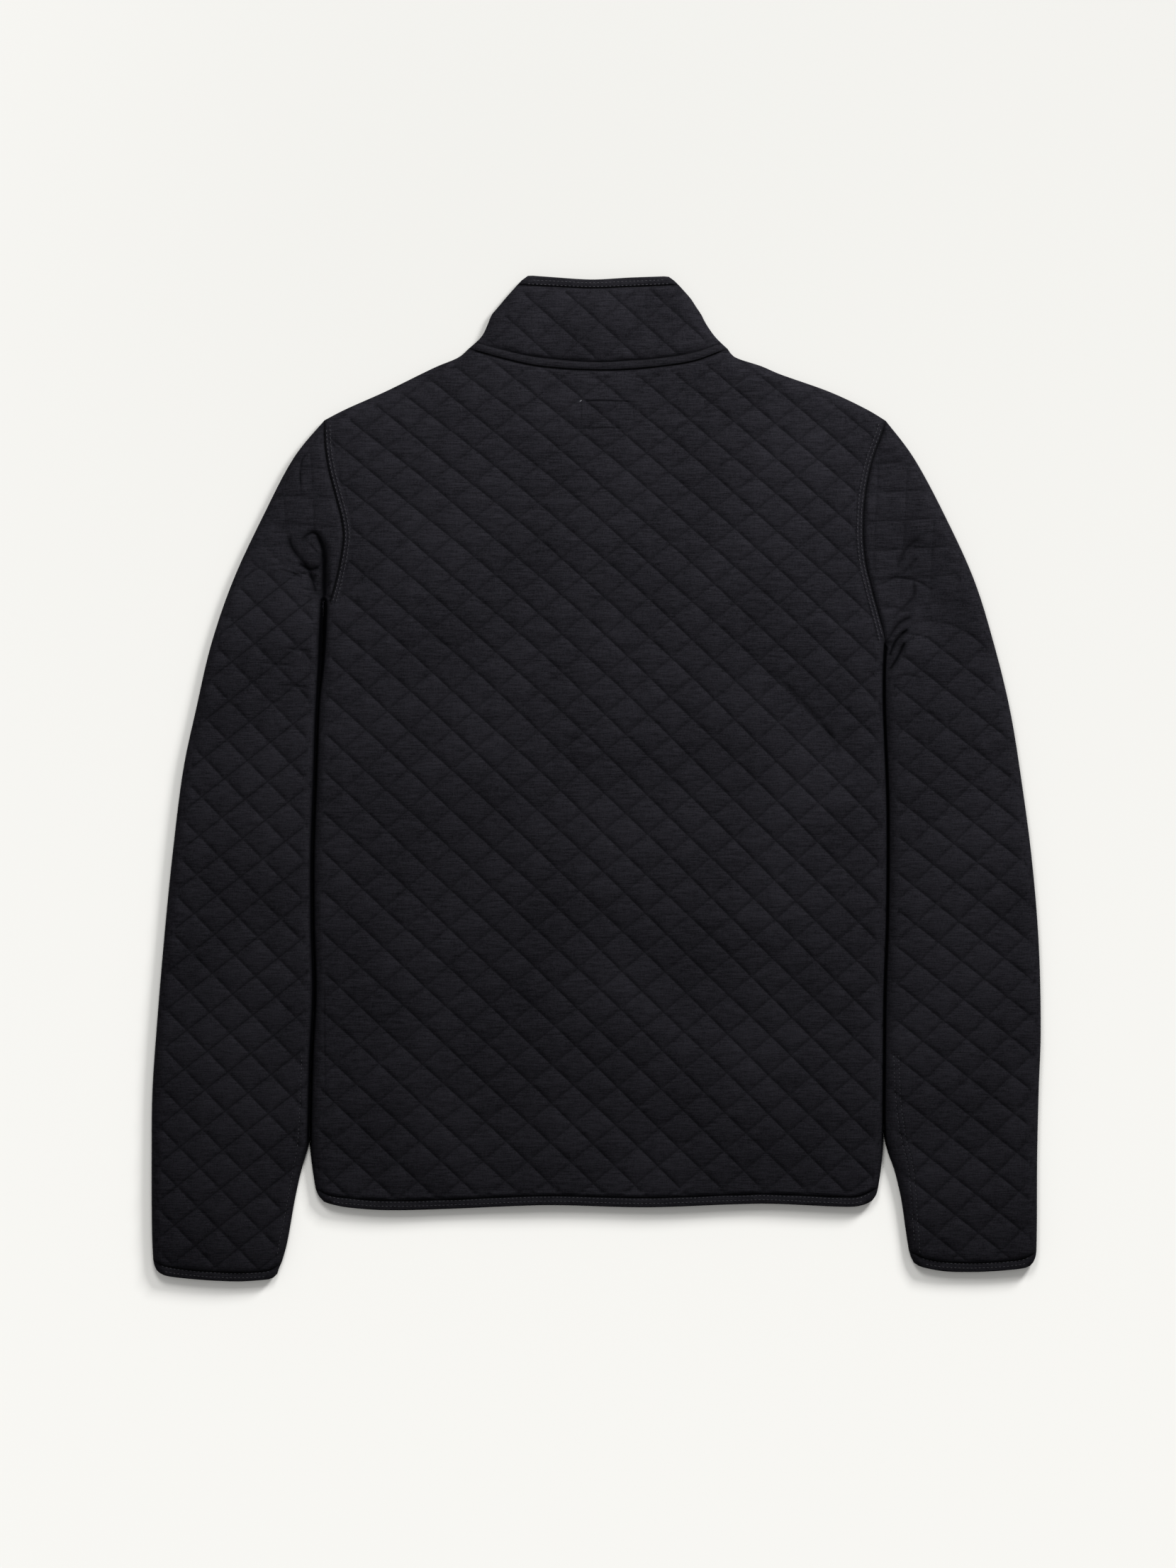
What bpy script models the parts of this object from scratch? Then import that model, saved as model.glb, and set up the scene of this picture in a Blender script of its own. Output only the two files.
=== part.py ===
"""A quilted zip pullover, size medium, laid flat on its front with its back up.

Every cloth piece is a wall of quilted double knit. The upper pieces lie on the lower ones with a little
air between, and at the sides both walls roll to a seam or a fold at half height. The quilting is raised
in the outer face of what doesn't rest on the surface, over a plain inner face. Sizes are in millimetres
and are made metres when a mesh is written. +X is to the right, +Y towards the collar, +Z up.
"""
from collections import namedtuple
from math import cos, hypot, pi, radians, sin, sqrt

import bpy
import bmesh
from mathutils import Vector
from mathutils.geometry import delaunay_2d_cdt

MM = 0.001

# Driving dimensions
WALL = 2.4                # the quilted double knit, pressed at a quilting line
LAYER_GAP = 2.2           # air between the upper and the lower cloth
SEAM_GAP = 0.3            # between two pieces that are sewn together
ROLL = 7.5                # how far in from a side the cloth starts to roll down
LOW_TOP = WALL
HIGH_BOTTOM = WALL + LAYER_GAP
HIGH_TOP = HIGH_BOTTOM + WALL
HALF_HEIGHT = HIGH_TOP / 2
SLEEVE_LOFT = 1.2         # how much higher a sleeve stands than the back
SLEEVE_CLIMB = 30.0       # it climbs to that over this distance from the armhole seam
BINDING_LOFT = 0.6        # how much prouder a bound edge stands than the cloth beside it

DIAMOND_WIDE = 35.25      # one quilted diamond, point to point
DIAMOND_HIGH = 31.75
PUFF = 2.2                # how far its middle stands up
SWELL_REACH = 9.0         # a middle this close to a rolled side stands up less
PUFF_MARGIN = 5.0         # the quilting flattens this close to a sewn edge
NECK_MARGIN = 11.0        # and this close to the neck seam, under the band
NECK_GROOVE = 7.4         # the quilting starts behind a groove this far above the neck seam

QUILTING_LINES = range(-44, 45)
LEAST_SPAN = DIAMOND_HIGH / 4   # crossings and middles nearer than this are left out

FOLD_TURN = 0.6           # both sheets on a fold step back from its ends alike, whatever their angles
LEAST_TURN = 0.35         # a flat corner is treated as one that turns this much
OUTLINE_STEP = 13.0       # the longest side of a facet along an outline
INNER_STEP = 34.0         # the grid of a plain inner face
COLLAR_STEP = 11.0
RIM_STEPS = (1.5, 4.0, ROLL)
RIM_KEEPS = 0.85          # a rim point keeps this share of its own depth from every rolled edge
RIM_TO_SEWN = 2.2         # and this distance from a sewn one
FACE_TO_SEWN = 3.0        # the same for the points of an inner face or a groove
LEAST_RIM = 1.0           # rim points nearer than this to each other are left out
INNER_RIM_STEP = 1.5
GRID_TO_ROLL = 1.0        # a plain grid's points keep this distance from the end of a roll
GRID_TO_SEWN = 6.0
QUILT_TO_ROLL = 2.0
SLIDE_REACH = 12.0        # a sewn end slides along its seam this near to a rolled side
CUT_DETAIL = 3.0          # the fineness of the curve on which a sewn edge's points lie

BAND_WIDE = 6.0           # the strip over the back neck seam
BAND_THICK = 1.2
BAND_START = 0.6          # it starts this far above the seam
BAND_END = 4.0            # it stops this far in from the side folds
STRIP_STEP = 6.5          # the length of a facet of the band, a tape and the chain

ZIP_BOTTOM = 122.0        # the lower end of the slit in the front
SLIT_HALF = 4.5
TAPE_INNER = 2.6
TAPE_OUTER = 15.0
TAPE_THICK = 1.0
TAPE_TOP = 388.0
TAPE_PAST_SLIT = 6.0
TAPE_RISE = 0.06          # its straight facets clear the curve of the cloth below
CHAIN_HALF = 2.3
CHAIN_THICK = 1.6
CHAIN_PAST_SLIT = 2.0
CHAIN_CLEAR = 0.6         # between its top and the end of the slider's channel
SLIDER_MIDDLE = 376.0     # how far up the zip the slider stands: the collar is closed
SLIDER_WIDE = 8.0
SLIDER_LONG = 12.0
SLIDER_TAPER = 0.86       # how wide its lower end is against its upper end
SLIDER_SOFT = 0.35
PLATE_THICK = 0.8
CHANNEL_HIGH = 2.2
CHANNEL_WIDE = 6.6
CHANNEL_LONG = 9.0
TAPE_SLOT = 1.3
POST_HALF = 2.0           # the post between the plates, which parts the chain
BRIDGE_WIDE = 1.8
BRIDGE_LONG = 7.6
BRIDGE_HOLE_LONG = 4.4
BRIDGE_HOLE_HIGH = 1.8
BRIDGE_THICK = 0.6
BRIDGE_SUNK = 0.2         # how deep its feet are let into the plate
TAB_LONG = 24.0
TAB_WIDE = 5.4
TAB_THICK = 1.0
TAB_WINDOW_WIDE = 3.0
TAB_WINDOW_LONG = 6.2
TAB_BAR_RADIUS = 0.55
TAB_BAR_CLEAR = 0.35      # from the lower end of the bridge's hole
TAB_ROUND_SIDES = 8
CUTTER_SLACK = 2.0        # how far a cutter runs past what it cuts

ZIP_LIFT = 1.3            # how far the slider lifts the cloth of the front collar
COLLAR_LIFT = 2.4         # and the back collar that lies on it
LIFT_REACH = 45.0

Point = namedtuple("Point", "across up")
Fold = namedtuple("Fold", "x0 y0 x1 y1 wide high")
Edge = namedtuple("Edge", "kind gap line")
Sheet = namedtuple("Sheet", "edges")


def line(*pairs):
    """A line of points from pairs of across and up."""
    return [Point(*pair) for pair in pairs]


# The outline as it lies, across and up from the middle of the whole.
SHOULDER_LEFT = line((-221.6, 292.0), (-203.6, 301.3), (-172.3, 315.2), (-143.8, 329.2),
                     (-129.3, 336.1), (-112.5, 343.1), (-104.4, 350.0))
SHOULDER_RIGHT = line((236.1, 291.5), (219.8, 301.3), (190.2, 315.2), (150.8, 329.2),
                      (134.6, 336.1), (113.7, 343.1), (107.3, 350.0))
ARMHOLE_LEFT = line((-221.6, 292.0), (-221.0, 272.3), (-218.1, 252.0), (-212.3, 229.4), (-207.6, 211.4),
                    (-205.9, 196.9), (-207.6, 182.4), (-211.7, 162.1), (-216.5, 144.4))
ARMHOLE_RIGHT = line((236.1, 291.5), (231.4, 277.0), (224.5, 257.8), (219.2, 231.7), (217.5, 202.7),
                     (219.2, 177.8), (224.5, 154.6), (230.3, 133.1), (234.0, 119.0), (235.9, 109.0))
UNDERARM_LEFT = Point(-221.9, 144.2)
BODY_LEFT = line((-221.9, 144.2), (-223.3, 115.7), (-224.5, 92.5), (-227.4, 57.7), (-229.4, -0.3),
                 (-231.4, -58.3), (-231.4, -116.3), (-230.0, -174.3), (-232.6, -232.3), (-233.7, -290.3),
                 (-232.0, -313.5), (-228.8, -334.5))
BODY_RIGHT = line((235.9, 109.0), (234.9, 86.7), (234.9, 57.7), (236.1, 28.7), (237.8, -17.7),
                  (238.1, -58.3), (237.5, -116.3), (235.5, -174.3), (234.9, -232.3), (234.3, -290.3),
                  (232.6, -315.0), (229.9, -333.5))
HEM_SEAM = line((-228.8, -334.5), (-218.0, -339.5), (-203.6, -341.9), (-168.8, -344.3), (-116.6, -343.1),
                (-64.4, -340.8), (-29.6, -340.2), (40.0, -341.9), (109.6, -339.6), (144.4, -339.1),
                (196.6, -341.4), (214.0, -340.9), (229.9, -333.5))
HEM_EDGE = line((-222.0, -345.2), (-203.6, -349.4), (-168.8, -351.8), (-116.6, -350.6), (-64.4, -348.3),
                (-29.6, -347.7), (40.0, -349.4), (109.6, -347.1), (144.4, -346.6), (196.6, -348.9),
                (214.0, -348.4), (225.0, -344.3))
HEM_END_LEFT = line((-228.8, -334.5), (-226.5, -340.0), (-222.0, -345.2))
HEM_END_RIGHT = line((225.0, -344.3), (228.3, -339.5), (229.9, -333.5))

SLEEVE_LEFT_OUTER = line((-221.6, 292.0), (-247.1, 260.7), (-272.0, 213.2), (-295.8, 162.1), (-313.8, 109.9),
                         (-326.0, 57.7), (-337.0, 5.5), (-345.7, -64.1), (-352.6, -133.7), (-358.4, -203.3),
                         (-361.9, -255.5), (-362.5, -307.7), (-362.3, -365.0), (-361.3, -392.0))
SLEEVE_LEFT_INNER = line((-222.7, 179.5), (-223.7, 156.3), (-224.6, 138.9), (-225.4, 115.7), (-226.6, 92.5),
                         (-229.5, 57.7), (-231.5, -0.3), (-233.6, -58.3), (-233.6, -116.3), (-232.4, -174.3),
                         (-234.9, -232.3), (-237.8, -290.3), (-241.9, -319.3), (-245.9, -342.5),
                         (-251.7, -377.3), (-256.2, -394.0))
UNDERARM_TAIL = line((-222.7, 179.5), (-221.3, 165.0), (-221.9, 144.2))
SLEEVE_RIGHT_OUTER = line((236.1, 291.5), (259.3, 260.7), (284.2, 214.3), (308.0, 162.1), (324.2, 109.9),
                          (337.0, 57.7), (345.7, 5.5), (355.0, -64.1), (360.8, -133.7), (362.5, -203.3),
                          (360.8, -255.5), (359.6, -307.7), (359.4, -360.0), (359.0, -385.5))
SLEEVE_RIGHT_INNER = line((236.9, 108.5), (237.3, 86.7), (237.1, 57.7), (238.2, 28.7), (239.9, -17.7),
                          (240.2, -58.3), (239.6, -116.3), (238.1, -174.3), (238.4, -232.3), (241.3, -290.3),
                          (245.3, -319.3), (249.0, -342.5), (252.5, -370.0), (254.8, -384.5))
CUFF_LEFT_SEAM = line((-361.3, -392.0), (-350.0, -397.5), (-325.0, -400.8), (-300.0, -402.3),
                      (-280.0, -402.2), (-266.0, -400.5), (-256.2, -394.0))
CUFF_LEFT_EDGE = line((-358.5, -401.0), (-352.0, -404.8), (-342.8, -406.5), (-325.4, -408.2), (-308.0, -409.3),
                      (-290.6, -409.8), (-273.2, -408.8), (-264.5, -407.5), (-260.0, -404.0))
CUFF_RIGHT_SEAM = line((254.8, -384.5), (268.0, -391.0), (283.6, -393.8), (301.0, -394.6), (318.4, -394.2),
                       (335.8, -392.9), (348.0, -391.0), (359.0, -385.5))
CUFF_RIGHT_EDGE = line((259.0, -395.0), (266.2, -398.4), (283.6, -401.6), (301.0, -402.2), (318.4, -401.8),
                       (335.8, -400.5), (350.0, -398.6), (356.5, -394.5))

NECK_BACK = line((-104.4, 350.0), (-81.8, 343.4), (-52.8, 336.6), (-23.8, 333.4), (0.0, 332.4), (22.6, 332.7),
                 (51.6, 335.3), (80.6, 340.0), (107.3, 350.0))
NECK_FRONT_LEFT = line((-104.4, 350.0), (-80.0, 332.0), (-45.0, 318.0), (-SLIT_HALF, 313.0))
NECK_FRONT_RIGHT = line((SLIT_HALF, 313.0), (45.0, 318.0), (80.0, 332.0), (107.3, 350.0))
COLLAR_LEFT = line((-104.4, 350.0), (-93.5, 360.2), (-88.2, 371.0), (-85.3, 377.9), (-79.5, 384.8),
                   (-73.7, 391.8), (-64.5, 402.2))
COLLAR_RIGHT = line((107.3, 350.0), (97.0, 360.0), (89.3, 371.0), (85.8, 377.9), (81.2, 384.8),
                    (76.6, 391.8), (67.3, 402.2))
COLLAR_SEAM_BACK = line((-64.5, 402.2), (-35.0, 400.8), (-3.5, 399.3), (28.0, 400.6), (67.3, 402.2))
COLLAR_EDGE_BACK = line((-55.7, 409.8), (-35.4, 408.3), (-3.5, 406.3), (28.4, 408.0), (59.2, 409.0))
COLLAR_SEAM_LEFT = line((-64.5, 402.2), (-40.0, 392.0), (-SLIT_HALF, 383.5))
COLLAR_EDGE_LEFT = line((-55.7, 409.8), (-36.0, 399.5), (-SLIT_HALF, 390.5))
COLLAR_SEAM_RIGHT = line((SLIT_HALF, 383.5), (42.0, 392.0), (67.3, 402.2))
COLLAR_EDGE_RIGHT = line((SLIT_HALF, 390.5), (38.0, 399.5), (59.2, 409.0))

# The largest soft folds of the upper cloth, each along a line; a negative height is a hollow.
BACK_FOLDS = [
    Fold(-180.0, 63.0, -47.0, -174.0, 24.0, -0.8),
    Fold(63.0, 156.0, 150.0, 0.0, 26.0, 1.4),
    Fold(144.0, 87.0, 197.0, 23.0, 11.0, -1.4),
    Fold(22.0, -139.0, 139.0, -192.0, 24.0, -0.9),
    Fold(-12.0, -197.0, 92.0, -273.0, 28.0, 1.2),
    Fold(-175.0, -250.0, -117.0, -319.0, 16.0, 1.0),
]
SLEEVE_FOLDS = [
    Fold(-253.0, 197.0, -229.0, 150.0, 9.0, -1.8),
    Fold(-246.0, 172.0, -262.0, 150.0, 9.0, 1.0),
    Fold(-241.0, 262.0, -241.0, 234.0, 7.0, -1.0),
    Fold(-240.0, 92.0, -270.0, 100.0, 8.0, -1.0),
    Fold(-240.0, 65.0, -268.0, 74.0, 8.0, -1.0),
    Fold(244.0, 122.0, 262.0, 158.0, 9.0, -1.6),
    Fold(244.0, 152.0, 262.0, 184.0, 8.0, -1.2),
    Fold(250.0, 112.0, 285.0, 128.0, 10.0, -1.0),
    Fold(252.0, 168.0, 262.0, 210.0, 9.0, 0.9),
    Fold(246.0, 92.0, 268.0, 78.0, 9.0, -1.0),
]


# ---------------------------------------------------------------- lines in the plan

def smooth(points, step):
    """A soft curve through the points, cut into lengths of about a step."""
    ends = [points[0]] + list(points) + [points[-1]]
    dense = [Vector(points[0])]
    for before, start, stop, after in zip(ends, ends[1:], ends[2:], ends[3:]):
        a, b, c, d = Vector(before), Vector(start), Vector(stop), Vector(after)
        for i in range(1, 13):
            t = i / 12
            dense.append(0.5 * (2 * b + (c - a) * t + (2 * a - 5 * b + 4 * c - d) * t ** 2
                                + (3 * b - a - 3 * c + d) * t ** 3))
    return resample(dense, step)


def resample(dense, step):
    """The same line as points about a step apart."""
    total = length(dense)
    count = max(1, round(total / step))
    return [at_length(dense, total * i / count) for i in range(count + 1)]


def length(points):
    return sum((b - a).length for a, b in zip(points, points[1:]))


def at_length(points, distance):
    """The point that far along the line."""
    for a, b in zip(points, points[1:]):
        span = (b - a).length
        if distance <= span and span > 0:
            return a.lerp(b, distance / span)
        distance -= span
    return points[-1].copy()


def rim_stations(points, near_start, near_end):
    """A sewn edge's points, with extra ones where it climbs the roll at either end."""
    total = length(points)
    count = max(2, round(total / OUTLINE_STEP))
    places = {total * i / count for i in range(count + 1)}
    for near, place in ((near_start, lambda d: d), (near_end, lambda d: total - d)):
        if near:
            places = {s for s in places if s in (0.0, total) or abs(s - place(0)) > ROLL + FACE_TO_SEWN}
            places |= {place(d) for d in RIM_STEPS if d < total / 2}
    return [at_length(points, s) for s in sorted(places)]


def inward(points, i):
    """The unit normal at a point of a line that runs anticlockwise round its sheet."""
    before = points[max(i - 1, 0)]
    after = points[min(i + 1, len(points) - 1)]
    along = (after - before).normalized()
    return Vector((-along.y, along.x))


def distance_to(point, segments):
    """The distance from a point to the nearest of some segments, or a large number."""
    best = 1e9
    for a, b in segments:
        along = b - a
        share = max(0.0, min(1.0, (point - a).dot(along) / max(along.length_squared, 1e-12)))
        best = min(best, (point - a - share * along).length)
    return best


def inside(point, outline):
    """Whether a point is within a closed outline."""
    hit = False
    for a, b in zip(outline, outline[1:] + outline[:1]):
        if (a.y > point.y) != (b.y > point.y):
            if point.x < a.x + (point.y - a.y) / (b.y - a.y) * (b.x - a.x):
                hit = not hit
    return hit


# ---------------------------------------------------------------- heights

def rise(share):
    """The rounded profile of a side, from 0 at its edge to 1 where it has levelled out."""
    share = max(0.0, min(1.0, share))
    return sqrt(1 - (1 - share) ** 2)


def fold_height(point, folds):
    """How far the soft folds raise or lower the cloth at a point."""
    height = 0.0
    for fold in folds:
        a, b = Vector((fold.x0, fold.y0)), Vector((fold.x1, fold.y1))
        away = distance_to(point, [(a, b)])
        if away < 2.5 * fold.wide:
            height += fold.high * cos(pi / 5 * away / fold.wide) ** 2
    return height


def slider_lift(point, high):
    """The gentle hill over the slider."""
    away = hypot(point.x, point.y - SLIDER_MIDDLE)
    return high * cos(pi / 2 * away / LIFT_REACH) ** 2 if away < LIFT_REACH else 0.0


class Upper:
    """Cloth that lies on top: its outer face looks up."""
    side = 1

    def __init__(self, lift=lambda point: 0.0, folds=(), loft=0.0, roll=ROLL):
        self.lift, self.folds, self.loft, self.roll = lift, folds, loft, roll

    def outer(self, point, depth, puff=0.0):
        level = HIGH_TOP + self.loft + self.lift(point) + fold_height(point, self.folds)
        swell = max(0.0, min(1.0, (depth - self.roll) / SWELL_REACH))
        return HALF_HEIGHT + (level - HALF_HEIGHT) * rise(depth / self.roll) + puff * swell

    def inner(self, point, depth):
        level = HIGH_BOTTOM + self.lift(point) + fold_height(point, self.folds)
        return HALF_HEIGHT + (level - HALF_HEIGHT) * rise(depth / (self.roll - WALL))

    def at_seam(self):
        return HALF_HEIGHT + SEAM_GAP / 2


class Lower:
    """Cloth that lies underneath: its outer face looks down and rests flat."""
    side = -1

    def __init__(self, lift=lambda point: 0.0, roll=ROLL):
        self.lift, self.roll = lift, roll

    def outer(self, point, depth, puff=0.0):
        level = self.lift(point)
        return HALF_HEIGHT + (level - HALF_HEIGHT) * rise(depth / self.roll)

    def inner(self, point, depth):
        level = LOW_TOP + self.lift(point)
        return HALF_HEIGHT + (level - HALF_HEIGHT) * rise(depth / (self.roll - WALL))

    def at_seam(self):
        return HALF_HEIGHT - SEAM_GAP / 2


# ---------------------------------------------------------------- outlines of a sheet

def edge(kind, points, gap=0.0):
    """One edge of a sheet: fold and seam roll down, and cut stands upright."""
    return Edge(kind, gap, [Vector(p) for p in points])


def shaped_edge(kind, key_points, gap=0.0, backwards=False, step=OUTLINE_STEP):
    points = smooth(key_points, step if kind != "cut" else CUT_DETAIL)
    return edge(kind, points[::-1] if backwards else points, gap)


def corner(before, after):
    """Where two edges meet once each has stepped back by its share of the seam gap."""
    point = after.line[0].copy()
    back = (before.line[-2] - before.line[-1]).normalized()
    on = (after.line[1] - after.line[0]).normalized()
    turn = abs(back.cross(on))
    if "fold" in (before.kind, after.kind):
        turn = FOLD_TURN
    turn = max(LEAST_TURN, turn)
    return point + on * (before.gap / turn) + back * (after.gap / turn)


def outline_of(sheet):
    """The outer and inner outlines, with each point's edge kind and whether it starts a rolled stretch."""
    edges = sheet.edges
    lines = []
    for i, current in enumerate(edges):
        before, after = edges[i - 1], edges[(i + 1) % len(edges)]
        points = current.line
        if current.kind == "cut":
            points = rim_stations(points, before.kind != "cut", after.kind != "cut")
        moved = [p + inward(points, j) * current.gap for j, p in enumerate(points)]
        moved[0] = corner(before, current)
        moved[-1] = corner(current, after)
        lines.append(moved)
    outer, inner, kinds = [], [], []
    for i, current in enumerate(edges):
        before, after = edges[i - 1], edges[(i + 1) % len(edges)]
        points = lines[i]
        for j, point in enumerate(points[:-1]):
            outer.append(point)
            kinds.append(current.kind)
            if current.kind == "cut":
                inner.append(slid(points, j, before.kind != "cut", after.kind != "cut"))
            elif j == 0 and before.kind == "cut":
                inner.append(slid(lines[i - 1], len(lines[i - 1]) - 1, False, True))
            else:
                inner.append(point + inward(points, j) * WALL)
    return outer, inner, kinds


def slid(points, j, near_start, near_end):
    """The inner point of a sewn edge: near a rolled corner it slides in by the wall."""
    total = length(points)
    here = length(points[:j + 1])
    place = here
    if near_start and here < SLIDE_REACH:
        place = here + WALL * (1 - here / SLIDE_REACH)
    if near_end and total - here < SLIDE_REACH:
        place = here - WALL * (1 - (total - here) / SLIDE_REACH)
    return at_length(points, max(0.0, min(total, place)))


# ---------------------------------------------------------------- quilting

def back_bow(point):
    """How far the two families of quilting lines have bowed from straight, in diamonds.

    The rows sag to the right and towards the hem, and bow up again near the shoulders.
    """
    x, y = point
    down = 0.95 - 0.26 * max(0.0, (y - 80) / 165) ** 2 - 0.30 * max(0.0, (80 - y) / 325)
    down -= 0.24 * max(0.0, (x + 50) / 177) ** 1.3
    up = 0.44 + 0.30 * max(0.0, min(1.0, (x + 60) / 190)) + 0.15 * max(0.0, (y - 120) / 120) ** 2
    up -= 0.15 * max(0.0, (-110 - y) / 135)
    return down, up


def back_quilting(m, n):
    """The plan position where down line m meets up line n on the back."""
    point = Vector((0.0, 0.0))
    for _ in range(8):
        down, up = back_bow(point)
        a, b = m + down, n + up
        point = Vector((DIAMOND_WIDE / 2 * (a + b), DIAMOND_HIGH / 2 * (a - b)))
    return point


def collar_quilting(m, n):
    return Vector((DIAMOND_WIDE / 2 * (m + n) + 3.0, DIAMOND_HIGH / 2 * (m - n) + 371.0))


def sleeve_quilting(hand, pivot, crossing):
    """The sleeve's quilting: it turns about the underarm, because the sleeve is bent down there."""
    low, high, middle = radians(3.6), radians(45.0), 80.0
    bend = middle * (high - low)
    out = Vector((hand * cos(high), sin(high)))
    on = Vector((-hand * sin(high), cos(high)))
    start = Vector(((crossing - pivot).dot(out), bend + (crossing - pivot).dot(on)))

    def place(m, n):
        u = start.x + DIAMOND_WIDE / 2 * (m + n)
        v = start.y + DIAMOND_HIGH / 2 * (m - n)
        if v > bend:
            return pivot + out * u + on * (v - bend)
        angle = low + max(0.0, v) / middle
        spoke = Vector((hand * cos(angle), sin(angle)))
        drop = Vector((-hand * sin(angle), cos(angle))) * min(0.0, v)
        return pivot + spoke * u + drop
    return place


def quilt_points(place, allowed):
    """The low crossings, the high middles and the lines between crossings, within the allowed region."""
    lows, highs, spans = {}, {}, []
    for m in QUILTING_LINES:
        for n in QUILTING_LINES:
            low = place(m, n)
            if allowed(low):
                lows[(m, n)] = low
            high = place(m + 0.5, n + 0.5)
            if allowed(high):
                highs[(m, n)] = high
    lows = uncrowded(lows, [])
    highs = uncrowded(highs, list(lows.values()))
    for m, n in lows:
        for other in ((m + 1, n), (m, n + 1)):
            if other in lows:
                spans.append(((m, n), other))
    return lows, highs, spans


def uncrowded(points, others):
    """Leaves out the points that crowd, where the quilting is squeezed by a bend."""
    kept = {}
    for key, point in points.items():
        if all((point - other).length > LEAST_SPAN for other in others + list(kept.values())):
            kept[key] = point
    return kept


# ---------------------------------------------------------------- walls

def triangulate(outline, points, spans=()):
    """Triangles over an outline and its inner points, keeping the outline's order."""
    coordinates = list(outline) + list(points)
    edges = [(len(outline) + a, len(outline) + b) for a, b in spans]
    result = delaunay_2d_cdt(coordinates, edges, [list(range(len(outline)))], 1, 1e-5)
    vertices, _, triangles, sources = result[0], result[1], result[2], result[3]
    order = [source[0] if source else None for source in sources]
    return vertices, triangles, order


def spaced(points, least):
    """The points that keep their distance from each other."""
    kept = []
    for point in points:
        if all((point - other).length > least for other in kept):
            kept.append(point)
    return kept


def grid(outline, step):
    """Rows of points over an outline's box, every other row shifted by half a step."""
    xs, ys = [p.x for p in outline], [p.y for p in outline]
    points = []
    rows = int((max(ys) - min(ys)) / step) + 1
    columns = int((max(xs) - min(xs)) / step) + 1
    for r in range(rows + 1):
        for c in range(columns + 1):
            shift = 0.5 * step * (r % 2)
            points.append(Vector((min(xs) + c * step + shift, min(ys) + r * step)))
    return points


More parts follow.
